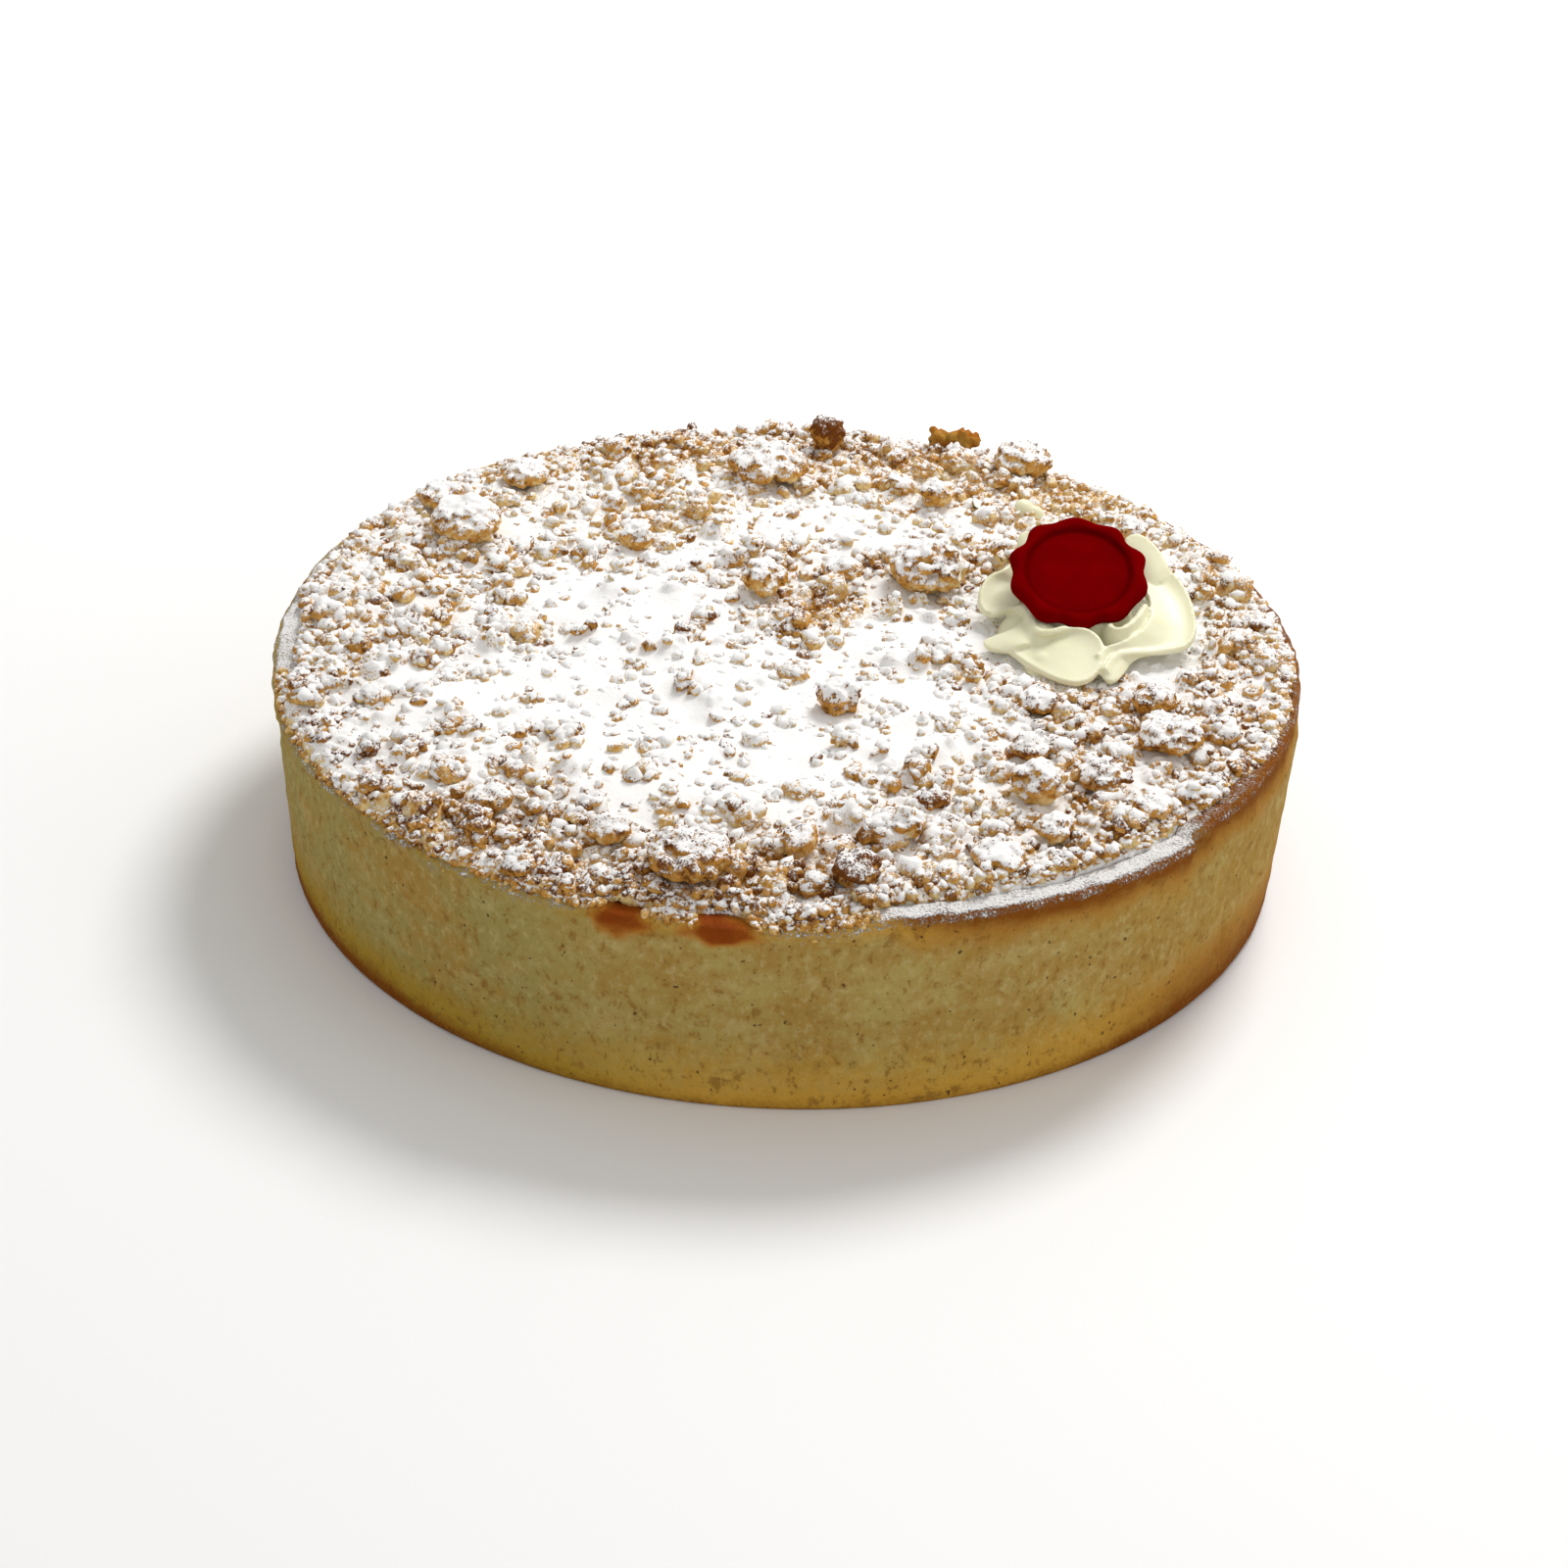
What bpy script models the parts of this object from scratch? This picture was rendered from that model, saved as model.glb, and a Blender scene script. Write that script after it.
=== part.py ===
# Crumble cake: a deep round shortcrust case filled to the rim, topped with baked crumble,
# with a piped cream ruffle and a red seal-shaped sweet leaning on it. Metres, +Z up.
# The origin is the centre of the flat base, and -Y is the front.

import math

import bmesh
import bpy
import numpy as np
from mathutils import Matrix, Vector, noise
from mathutils.bvhtree import BVHTree

# Pastry case
RIM_RADIUS = 0.120
BASE_RADIUS = 0.1165
RIM_HEIGHT = 0.050
RIM_WIDTH = 0.0062
RIM_ROUND = 0.0016
BASE_ROUND = 0.0016
RECESS_DEPTH = 0.0065
LOW_RIM_DROP = 0.0024
RIM_WAVE = 0.0006
SEAM_ANGLE = math.radians(-41)
SEAM_STEP = 0.0014
CASE_STEPS = 72
BED_STEPS = 54

# The crumble hides the rim along this stretch, seen from above, anticlockwise
COVERED_FROM = math.radians(-168)
COVERED_TO = math.radians(-82)
COVER_FADE = math.radians(9)

# Crumble bed
GAP = 0.0003
SEAT_GAP = 0.0004
SEAT_REACHES = (0.0015, 0.0031)
SEAT_SAMPLES = 10
BED_HEIGHT = 0.0508
BED_SWELL = 0.0011
BED_SWELL_LENGTH = 0.034
BED_CEILING = 0.0600
LIP_RADIUS = 0.1184
LIP_SLOPE = 0.0010
LIP_THICKNESS = 0.0013
EDGE_DROP = 0.0012
EDGE_REACH = 0.0060
PEBBLE_SIZE = 0.0066
PEBBLE_RELIEF = 0.0013
PEBBLE_SHIFT = 0.0014
PEBBLE_SEED = 3

# Crumbs fused to the bed
CRUMB_COUNT = 84
CRUMB_LARGEST = 0.0088
CRUMB_SMALLEST = 0.0048
CRUMB_TRIES = 60
CRUMB_SPACING = 0.56
COARSE_CRUMB = 0.0074
CRUMB_TAPER = 2.2
CRUMB_RISE = 0.12
CRUMB_FLATNESS = 0.85
CRUMB_ROUGHNESS = 0.14
CRUMB_SEED = 11

# Cream ruffle
CREAM_PLACE = Vector((0.070, 0.010))
CREAM_RADIUS = 0.0262
MOUND_RADIUS = 0.0160
MOUND_HEIGHT = 0.0165
SEAL_MARGIN = 1.18
PETAL_ROOT = 0.0085
PETAL_THICKNESS = 0.0024
PETAL_FLOOR = 0.0004

# Each petal of the ruffle: direction and half width in degrees, then in millimetres its reach,
# the height of its root and of its edge above the bed, how far its sides rise above its middle,
# and how much higher its anticlockwise side stands than its clockwise one
PETALS = (
    (168, 23, 26.0, 6.5, 9.2, -1.6, 2.2),
    (205, 16, 27.0, 5.5, 2.6, -0.8, -1.6),
    (256, 31, 27.2, 7.4, 1.4, -0.6, 2.6),
    (291, 14, 26.0, 5.6, 1.2, -0.8, -1.4),
    (340, 38, 26.6, 8.6, 3.6, -0.6, 2.4),
    (52, 25, 28.0, 9.0, 13.8, -1.8, 2.0),
    (92, 22, 25.0, 9.5, 13.0, 0.6, 1.6),
    (126, 18, 27.6, 9.0, 13.2, -1.2, -1.6),
)

# Seal
SEAL_CENTRE = Vector((0.0676, 0.0140, 0.0645))
SEAL_TILT = math.radians(24)
SEAL_RADIUS = 0.0165
SEAL_THICKNESS = 0.0026
SEAL_FIELD = 0.67
SEAL_SCALLOPS = 10
SEAL_SCALLOP_DEPTH = 0.055
SEAL_STEPS = 50

# The largest clumps of crumble: x, y, width and height in millimetres
CLUMPS = (
    (-79.5, 47.8, 16.5, 10.5),
    (-6.3, 25.6, 11.5, 8.5),
    (-67.7, 80.9, 13.3, 8.5),
    (-87.5, 66.5, 12.0, 6.0),
    (-6.3, 88.2, 19.5, 8.0),
    (7.8, 105.2, 9.8, 10.0),
    (57.3, 94.4, 15.4, 9.2),
    (32.9, 31.8, 17.4, 11.0),
    (35.2, 76.5, 9.4, 7.5),
    (12.8, 33.5, 9.5, 6.5),
    (11.9, -31.2, 9.6, 10.0),
    (83.6, 61.9, 9.0, 7.0),
    (57.4, -26.9, 9.0, 7.0),
    (84.1, -25.8, 10.0, 7.0),
    (54.9, -49.0, 9.8, 7.0),
    (55.9, -68.5, 12.4, 9.6),
    (71.3, -61.0, 12.1, 7.6),
    (26.4, -87.0, 9.8, 7.8),
    (15.6, -104.9, 11.4, 9.0),
    (3.2, -94.8, 9.4, 7.5),
    (46.3, -94.8, 12.4, 6.4),
    (58.6, -83.6, 9.4, 6.6),
    (79.6, -71.2, 10.5, 6.2),
    (86.8, -43.2, 14.6, 7.4),
    (-37.0, -91.0, 9.4, 8.2),
    (-19.5, -102.5, 17.6, 8.6),
    (-63.8, -78.7, 9.0, 6.6),
    (-37.8, 46.9, 9.0, 7.5),
)
CLUMP_SEED = 5
CLUMP_ROUGHNESS = 0.07
CLUMP_KNOBS = 0.24
CLUMP_RISE = 0.40
CLUMP_STRETCH = 1.2
KNOB_PITCH = 4.4
KNOB_SPREAD = 90
LARGE_CLUMP = 0.0160

# A flake of pastry that stands at the back, where the crumble meets the rim
FLAKE_PLACE = Vector((0.0405, 0.1080))
FLAKE_WIDTH = 0.0145
FLAKE_HEIGHT = 0.0084
FLAKE_THICKNESS = 0.0034
FLAKE_TURN = math.radians(-14)
FLAKE_RISE = 0.42
FLAKE_BOW = 0.16
FLAKE_CORNERS = 0.45

PASTRY_COLOUR = (0.72, 0.50, 0.22, 1)
CRUMBLE_COLOUR = (0.80, 0.62, 0.38, 1)
CLUMP_COLOUR = (0.66, 0.42, 0.19, 1)
CREAM_COLOUR = (0.91, 0.87, 0.66, 1)
SEAL_COLOUR = (0.35, 0.008, 0.012, 1)


def clear_scene():
    for obj in list(bpy.data.objects):
        bpy.data.objects.remove(obj, do_unlink=True)


def new_collection(name):
    collection = bpy.data.collections.new(name)
    bpy.context.scene.collection.children.link(collection)
    return collection


def new_material(name, colour, roughness):
    material = bpy.data.materials.new(name)
    material.use_nodes = True
    shader = material.node_tree.nodes["Principled BSDF"]
    shader.inputs["Base Color"].default_value = colour
    shader.inputs["Roughness"].default_value = roughness
    material.diffuse_color = colour
    return material


def new_object(name, mesh, collection, material=None):
    obj = bpy.data.objects.new(name, mesh)
    collection.objects.link(obj)
    if material:
        mesh.materials.clear()
        mesh.materials.append(material)
    return obj


def evaluated_mesh(obj):
    """The object's mesh with its modifiers applied, as a mesh of its own."""
    graph = bpy.context.evaluated_depsgraph_get()
    return bpy.data.meshes.new_from_object(obj.evaluated_get(graph))


def turned_mesh(profile, steps, collection):
    """A closed shape turned about Z from a profile that runs down its outer side."""
    outline = bpy.data.meshes.new("profile")
    points = [(radius, 0, height) for radius, height in profile]
    outline.from_pydata(points, [(i, i + 1) for i in range(len(points) - 1)], [])
    helper = new_object("turned_helper", outline, collection)
    screw = helper.modifiers.new("Turn", "SCREW")
    screw.steps = screw.render_steps = steps
    screw.use_merge_vertices = True
    screw.merge_threshold = 0.00005
    mesh = evaluated_mesh(helper)
    bpy.data.objects.remove(helper, do_unlink=True)
    bpy.data.meshes.remove(outline)
    return mesh


def keep_outer_shell(mesh):
    """Fills the hollows that a union sealed and drops its loose scraps."""
    bm = bmesh.new()
    bm.from_mesh(mesh)
    waiting = set(bm.verts)
    shells = []
    while waiting:
        front = [waiting.pop()]
        shell = set(front)
        while front:
            for edge in front.pop().link_edges:
                for vertex in edge.verts:
                    if vertex not in shell:
                        shell.add(vertex)
                        front.append(vertex)
        waiting -= shell
        shells.append(shell)
    shells.sort(key=len)
    for shell in shells[:-1]:
        bmesh.ops.delete(bm, geom=list(shell), context="VERTS")
    bm.to_mesh(mesh)
    bm.free()
    return mesh


def smooth_step(value):
    value = min(1.0, max(0.0, value))
    return value * value * (3 - 2 * value)


def covered(angle):
    """1 where the crumble spills over the rim, 0 where the rim shows, with soft ends."""
    middle = (COVERED_FROM + COVERED_TO) / 2
    half = (COVERED_TO - COVERED_FROM) / 2
    away = abs((angle - middle + math.pi) % (2 * math.pi) - math.pi)
    return smooth_step((half - away) / COVER_FADE + 0.5)


def rim_offset(angle):
    """How far the rim stands above its nominal height at this angle."""
    wave = math.sin(3 * angle + 0.6) + 0.6 * math.sin(5 * angle + 2.1)
    past_seam = (angle - SEAM_ANGLE) % (2 * math.pi)
    step = SEAM_STEP * (1 - smooth_step(past_seam / math.radians(70)))
    return RIM_WAVE * wave + step - LOW_RIM_DROP * covered(angle)


def bed_height(x, y):
    """Top of the bare crumble bed, a slow swell that the crumbs and the cream stand on."""
    swell = noise.noise(Vector((x, y, 0.37)) / BED_SWELL_LENGTH)
    return BED_HEIGHT + BED_SWELL * swell


def surface_tree(obj):
    """What top_height reads: the obj's own surface."""
    mesh = obj.data
    points = [vertex.co for vertex in mesh.vertices]
    return BVHTree.FromPolygons(points, [tuple(face.vertices) for face in mesh.polygons])


def top_height(trees, x, y):
    """The highest surface of these that stands at this place."""
    down = Vector((0, 0, -1))
    hits = [tree.ray_cast(Vector((x, y, 2 * RIM_HEIGHT)), down)[0] for tree in trees]
    return max((hit.z for hit in hits if hit), default=BED_HEIGHT)


def seat_height(trees, x, y):
    """How low a piece may reach at this place, with room for the flat facets beside it."""
    around = [(x, y)]
    for reach in SEAT_REACHES:
        for i in range(SEAT_SAMPLES):
            angle = math.tau * i / SEAT_SAMPLES
            around.append((x + reach * math.cos(angle), y + reach * math.sin(angle)))
    return max(top_height(trees, *place) for place in around) + SEAT_GAP


def seat_vertices(bm, trees):
    """Lifts what would sink into the bed or the case."""
    for vertex in bm.verts:
        vertex.co.z = max(vertex.co.z, seat_height(trees, vertex.co.x, vertex.co.y))


def build_pastry_case(collection, helpers, material):
    inner = RIM_RADIUS - RIM_WIDTH
    floor = RIM_HEIGHT - RECESS_DEPTH
    wall_steps = 4
    profile = [
        (0, floor),
        (inner, floor),
        (inner, RIM_HEIGHT - RIM_ROUND / 2),
        (inner + RIM_ROUND / 2, RIM_HEIGHT),
        (RIM_RADIUS - RIM_ROUND, RIM_HEIGHT),
        (RIM_RADIUS - RIM_ROUND / 3, RIM_HEIGHT - RIM_ROUND / 3),
        (RIM_RADIUS, RIM_HEIGHT - RIM_ROUND),
    ]
    for i in range(1, wall_steps + 1):
        share = i / wall_steps
        radius = RIM_RADIUS + (BASE_RADIUS - RIM_RADIUS) * share
        height = (RIM_HEIGHT - RIM_ROUND) * (1 - share) + BASE_ROUND * share
        profile.append((radius, height))
    profile += [(BASE_RADIUS - BASE_ROUND, 0), (0, 0)]
    mesh = turned_mesh(profile, CASE_STEPS, helpers)
    for vertex in mesh.vertices:
        if vertex.co.z > floor + RECESS_DEPTH / 4:
            lift = rim_offset(math.atan2(vertex.co.y, vertex.co.x))
            top_share = smooth_step((vertex.co.z - floor) / RECESS_DEPTH)
            vertex.co.z += lift * top_share
    mesh.shade_smooth()
    mesh.set_sharp_from_angle(angle=math.radians(40))
    return new_object("pastry_case", mesh, collection, material)


def relief_slab(helpers):
    """A slab whose uneven top, with dents and rises the size of small crumbs, shapes the bed."""
    rng = np.random.default_rng(PEBBLE_SEED)
    half = RIM_RADIUS + PEBBLE_SIZE
    cells = round(2 * half / PEBBLE_SIZE)
    bm = bmesh.new()
    bmesh.ops.create_grid(bm, x_segments=cells, y_segments=cells, size=half)
    for vertex in bm.verts:
        x, y, _ = vertex.co
        x += rng.uniform(-PEBBLE_SHIFT, PEBBLE_SHIFT)
        y += rng.uniform(-PEBBLE_SHIFT, PEBBLE_SHIFT)
        from_edge = RIM_RADIUS - RIM_WIDTH - math.hypot(x, y)
        drop = EDGE_DROP * smooth_step(1 - from_edge / EDGE_REACH)
        height = bed_height(x, y) + rng.uniform(-PEBBLE_RELIEF, PEBBLE_RELIEF) - drop
        if from_edge < PEBBLE_SIZE:
            lip = RIM_HEIGHT + min(0, rim_offset(math.atan2(y, x))) + LIP_THICKNESS
            height = max(height, lip)
        vertex.co = (x, y, height)
    bottom = bmesh.ops.extrude_face_region(bm, geom=bm.faces[:])
    for item in bottom["geom"]:
        if isinstance(item, bmesh.types.BMVert):
            item.co.z = 0
    bmesh.ops.recalc_face_normals(bm, faces=bm.faces)
    mesh = bpy.data.meshes.new("relief_slab")
    bm.to_mesh(mesh)
    bm.free()
    return new_object("relief_slab", mesh, helpers)


def build_bed(collection, helpers, material):
    inner = RIM_RADIUS - RIM_WIDTH - GAP
    floor = RIM_HEIGHT - RECESS_DEPTH + GAP
    under_lip = RIM_HEIGHT + GAP
    profile = [
        (0, BED_CEILING),
        (inner - LIP_SLOPE, BED_CEILING),
        (inner, under_lip + 2 * GAP),
        (inner, under_lip),
        (inner, floor),
        (0, floor),
    ]
    mesh = turned_mesh(profile, BED_STEPS, helpers)
    for vertex in mesh.vertices:
        x, y, z = vertex.co
        angle = math.atan2(y, x)
        if z < floor + GAP or math.hypot(x, y) < inner / 2:
            continue
        reach = 1 + (LIP_RADIUS / inner - 1) * covered(angle)
        if z > under_lip + GAP:
            vertex.co.x, vertex.co.y = x * reach, y * reach
        if z < BED_CEILING - GAP:
            vertex.co.z += min(0, rim_offset(angle))
    bed = new_object("crumble", mesh, collection, material)
    slab = relief_slab(helpers)
    cut = bed.modifiers.new("Relief", "BOOLEAN")
    cut.operation = "INTERSECT"
    cut.object = slab
    cut.solver = "EXACT"
    bed.data = evaluated_mesh(bed)
    bed.modifiers.clear()
    bpy.data.objects.remove(slab, do_unlink=True)
    return bed


def lump(bm, centre, width, height, subdivisions, rng, roughness, knobs=0.0):
    """An uneven rounded lump in bm, knobbly where knobs is above 0."""
    turn = Matrix.Rotation(rng.uniform(0, math.tau), 4, "Z")
    made = bmesh.ops.create_icosphere(bm, subdivisions=subdivisions, radius=0.5, matrix=turn)
    for vertex in made["verts"]:
        swell = 1 + rng.uniform(-roughness, roughness)
        swell += knobs * noise.noise(KNOB_PITCH * vertex.co + KNOB_SPREAD * centre)
        offset = vertex.co * swell
        vertex.co = centre + Vector((offset.x * width, offset.y * width, offset.z * height))


def crumb_places():
    """Centre and diameter of each crumb, largest first, clear of the clumps and the cream."""
    rng = np.random.default_rng(CRUMB_SEED)
    taken = [(x / 1000, y / 1000, width / 1000) for x, y, width, _ in CLUMPS]
    placed = []
    for i in range(CRUMB_COUNT):
        share = i / (CRUMB_COUNT - 1)
        size = CRUMB_SMALLEST + (CRUMB_LARGEST - CRUMB_SMALLEST) * (1 - share) ** CRUMB_TAPER
        for _ in range(CRUMB_TRIES):
            radius = RIM_RADIUS * math.sqrt(rng.uniform())
            angle = rng.uniform(-math.pi, math.pi)
            x, y = radius * math.cos(angle), radius * math.sin(angle)
            inner = RIM_RADIUS - RIM_WIDTH - GAP
            limit = inner + (LIP_RADIUS - inner) * covered(angle) - 0.62 * size
            from_cream = math.hypot(x - CREAM_PLACE.x, y - CREAM_PLACE.y)
            if radius > limit or from_cream < CREAM_RADIUS + 0.65 * size:
                continue
            clear_clumps = all(
                math.hypot(x - cx, y - cy) > 0.6 * (size + width) + SEAT_GAP
                for cx, cy, width in taken
            )
            clear_crumbs = all(
                math.hypot(x - cx, y - cy) > CRUMB_SPACING * (size + other)
                for cx, cy, other in placed
            )
            if clear_clumps and clear_crumbs:
                placed.append((x, y, size))
                break
    return placed


def fuse_crumbs(bed, trees):
    rng = np.random.default_rng(CRUMB_SEED + 1)
    crumbs = new_collection("crumbs")
    for x, y, size in crumb_places():
        bm = bmesh.new()
        centre = Vector((x, y, top_height(trees, x, y) + CRUMB_RISE * size))
        detail = 2 if size > COARSE_CRUMB else 1
        lump(bm, centre, size, CRUMB_FLATNESS * size, detail, rng, CRUMB_ROUGHNESS)
        mesh = bpy.data.meshes.new("crumb")
        bm.to_mesh(mesh)
        bm.free()
        new_object("crumb", mesh, crumbs)
    union = bed.modifiers.new("Fuse crumbs", "BOOLEAN")
    union.operation = "UNION"
    union.operand_type = "COLLECTION"
    union.collection = crumbs
    union.solver = "EXACT"
    fused = keep_outer_shell(evaluated_mesh(bed))
    bed.modifiers.clear()
    bed.data = fused
    for obj in list(crumbs.objects):
        bpy.data.objects.remove(obj, do_unlink=True)
    bpy.data.collections.remove(crumbs)


def build_clumps(collection, trees, material):
    rng = np.random.default_rng(CLUMP_SEED)
    for number, (x, y, width, height) in enumerate(CLUMPS, 1):
        x, y, width, height = x / 1000, y / 1000, width / 1000, height / 1000
        seat = top_height(trees, x, y) + SEAT_GAP
        centre = Vector((x, y, seat + CLUMP_RISE * height))
        bm = bmesh.new()
        detail = 3 if width > LARGE_CLUMP else 2
        lump(bm, centre, width, CLUMP_STRETCH * height, detail, rng, CLUMP_ROUGHNESS, CLUMP_KNOBS)
        seat_vertices(bm, trees)
        mesh = bpy.data.meshes.new("clump")
        bm.to_mesh(mesh)
        bm.free()
        mesh.shade_smooth()
        new_object(f"clump_{number:02d}", mesh, collection, material)


def build_flake(collection, trees, material):
    """A thin, slightly bowed flake standing on its long edge."""
    seat = top_height(trees, *FLAKE_PLACE)
    bm = bmesh.new()
    bmesh.ops.create_icosphere(bm, subdivisions=2, radius=0.5)
    turn = Matrix.Rotation(FLAKE_TURN, 3, "Z")
    middle = Vector((FLAKE_PLACE.x, FLAKE_PLACE.y, seat + FLAKE_RISE * FLAKE_HEIGHT))
    for vertex in bm.verts:
        along, across, up = vertex.co
        square = 1 + FLAKE_CORNERS * abs(2 * along * up)
        bow = FLAKE_BOW * FLAKE_WIDTH * (4 * along * along - 0.5)
        place = Vector((along * FLAKE_WIDTH, across * FLAKE_THICKNESS + bow, 0)) * square
        place.z = up * FLAKE_HEIGHT * square * (1 + along / 2)
        vertex.co = middle + turn @ place
    seat_vertices(bm, trees)
    mesh = bpy.data.meshes.new("flake")
    bm.to_mesh(mesh)
    bm.free()
    mesh.shade_smooth()
    new_object("flake", mesh, collection, material)


def seal_underside(x, y):
    """Height of the leaning seal's flat back above this place."""
    return SEAL_CENTRE.z + (y - SEAL_CENTRE.y) * math.tan(SEAL_TILT)


def petal_point(petal, across, out):
    """A place on a petal's middle surface: across from -1 to 1, out from 0 at its root to 1."""
    direction, half_width, reach, root, lift, sides, slant = petal
    fan = 0.45 + 0.55 * out
    angle = math.radians(direction + half_width * across * fan)
    far = reach / 1000 * (1 - 0.17 * across**4)
    radius = PETAL_ROOT + (far - PETAL_ROOT) * out
    rise = root + (lift - root) * out**1.7
    rise += (sides * across * across + slant * across) * out
    height = PETAL_THICKNESS / 2 + PETAL_FLOOR + max(0.0, rise) / 1000
    return radius * math.cos(angle), radius * math.sin(angle), height


def build_cream(collection, trees, material):
    rows, columns = 4, 6
    petals = new_collection("petals")
    for petal in PETALS:
        bm = bmesh.new()
        bmesh.ops.create_grid(bm, x_segments=columns, y_segments=rows, size=1)
        for vertex in bm.verts:
            x, y, height = petal_point(petal, vertex.co.x, (vertex.co.y + 1) / 2)
            x, y = x + CREAM_PLACE.x, y + CREAM_PLACE.y
            vertex.co = (x, y, height + top_height(trees, x, y))
        mesh = bpy.data.meshes.new("petal")
        bm.to_mesh(mesh)
        bm.free()
        obj = new_object("petal", mesh, petals)
        thicken = obj.modifiers.new("Thickness", "SOLIDIFY")
        thicken.thickness = PETAL_THICKNESS
        thicken.offset = 0
    middle = Vector((CREAM_PLACE.x, CREAM_PLACE.y, top_height(trees, *CREAM_PLACE)))
    bpy.ops.mesh.primitive_ico_sphere_add(subdivisions=3, radius=1, location=(0, 0, 0))
    mound = bpy.context.object
    for vertex in mound.data.vertices:
        place = Vector((vertex.co.x * MOUND_RADIUS, vertex.co.y * MOUND_RADIUS, 0)) + middle
        place.z += MOUND_HEIGHT * vertex.co.z
        vertex.co = place
    union = mound.modifiers.new("Fuse petals", "BOOLEAN")
    union.operation = "UNION"
    union.operand_type = "COLLECTION"
    union.collection = petals
    union.solver = "EXACT"
    mesh = keep_outer_shell(evaluated_mesh(mound))
    bpy.data.objects.remove(mound, do_unlink=True)
    for obj in list(petals.objects):
        bpy.data.objects.remove(obj, do_unlink=True)
    bpy.data.collections.remove(petals)
    for vertex in mesh.vertices:
        x, y, z = vertex.co
        z = max(z, seat_height(trees, x, y))
        beside_seal = math.hypot(x - SEAL_CENTRE.x, y - SEAL_CENTRE.y) - SEAL_MARGIN * SEAL_RADIUS
        z = min(z, seal_underside(x, y) - SEAT_GAP + max(0, beside_seal))
        vertex.co.z = z
    mesh.shade_smooth()
    return new_object("cream_ruffle", mesh, collection, material)


def build_seal(collection, material):
    # Rings of the seal, from the centre of its face to the centre of its back:
    # share of the radius, height, and how much of the wavy outline each one has
    rings = (
        (SEAL_FIELD, 0.62, 0.0),
        (SEAL_FIELD + 0.07, 0.93, 0.2),
        (0.85, 1.0, 0.6),
        (0.96, 0.76, 1.0),
        (1.0, 0.38, 1.0),
        (0.97, 0.0, 1.0),
    )
    bm = bmesh.new()
    loops = []
    for share, height, wavy in rings:
        loop = []
        for i in range(SEAL_STEPS):
            angle = math.tau * i / SEAL_STEPS
            wave = math.cos(SEAL_SCALLOPS * angle) + 0.35 * math.cos(3 * angle + 1.0)
            radius = SEAL_RADIUS * share * (1 + SEAL_SCALLOP_DEPTH * wavy * wave)
            place = (radius * math.cos(angle), radius * math.sin(angle), height * SEAL_THICKNESS)
            loop.append(bm.verts.new(place))
        loops.append(loop)
    for inner, outer in zip(loops, loops[1:]):
        for i in range(SEAL_STEPS):
            j = (i + 1) % SEAL_STEPS
            bm.faces.new((inner[i], outer[i], outer[j], inner[j]))
    bm.faces.new(loops[0])
    bm.faces.new(loops[-1])
    bmesh.ops.recalc_face_normals(bm, faces=bm.faces)
    mesh = bpy.data.meshes.new("seal")
    bm.to_mesh(mesh)
    bm.free()
    mesh.shade_smooth()
    mesh.set_sharp_from_angle(angle=math.radians(25))
    seal = new_object("seal", mesh, collection, material)
    seal.location = SEAL_CENTRE
    seal.rotation_euler = (SEAL_TILT, 0, 0)
    return seal


def main():
    clear_scene()
    parts = new_collection("crumble_cake")
    helpers = new_collection("helpers")
    pastry = new_material("pastry", PASTRY_COLOUR, 0.8)
    crumble = new_material("crumble", CRUMBLE_COLOUR, 0.9)
    clump = new_material("clump", CLUMP_COLOUR, 0.85)
    cream = new_material("cream", CREAM_COLOUR, 0.4)
    red = new_material("seal_red", SEAL_COLOUR, 0.45)
    case = build_pastry_case(parts, helpers, pastry)
    bed = build_bed(parts, helpers, crumble)
    trees = (surface_tree(case), surface_tree(bed))
    fuse_crumbs(bed, trees)
    build_clumps(parts, trees, clump)
    build_flake(parts, trees, pastry)
    build_cream(parts, trees, cream)
    build_seal(parts, red)
    bpy.data.collections.remove(helpers)


main()
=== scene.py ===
# Crumble cake: a shortcrust case, a sugared crumble top, a piped cream ruffle and a red seal.
# Everything is in metres, with the centre of the cake's flat base at the origin and -Y in front.
import math

import bpy
import numpy as np
from mathutils import Matrix, Vector, kdtree
from mathutils.bvhtree import BVHTree


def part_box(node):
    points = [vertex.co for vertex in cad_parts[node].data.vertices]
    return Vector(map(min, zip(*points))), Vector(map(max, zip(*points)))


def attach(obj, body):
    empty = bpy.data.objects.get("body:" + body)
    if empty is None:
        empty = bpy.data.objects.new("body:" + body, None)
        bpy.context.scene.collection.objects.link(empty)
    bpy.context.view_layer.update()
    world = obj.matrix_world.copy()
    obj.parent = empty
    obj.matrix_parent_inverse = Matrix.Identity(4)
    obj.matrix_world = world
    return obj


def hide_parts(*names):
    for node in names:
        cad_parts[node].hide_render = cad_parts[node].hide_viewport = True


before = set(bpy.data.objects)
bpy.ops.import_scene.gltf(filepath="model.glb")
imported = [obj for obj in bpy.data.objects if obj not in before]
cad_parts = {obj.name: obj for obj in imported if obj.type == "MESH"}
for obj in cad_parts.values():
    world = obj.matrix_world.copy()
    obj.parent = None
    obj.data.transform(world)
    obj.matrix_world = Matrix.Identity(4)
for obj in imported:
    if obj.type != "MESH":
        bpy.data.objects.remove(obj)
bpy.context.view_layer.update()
millimetre = 0.001
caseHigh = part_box("pastry_case")[1]
print("frame loaded")


# Small helpers

def deselectAll():
    if bpy.context.mode != "OBJECT":
        bpy.ops.object.mode_set(mode="OBJECT")
    bpy.ops.object.select_all(action="DESELECT")


def makeActive(obj):
    deselectAll()
    obj.select_set(True)
    bpy.context.view_layer.objects.active = obj


def nameNew(name):
    obj = bpy.context.active_object
    obj.name = obj.data.name = name
    return obj


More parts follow.
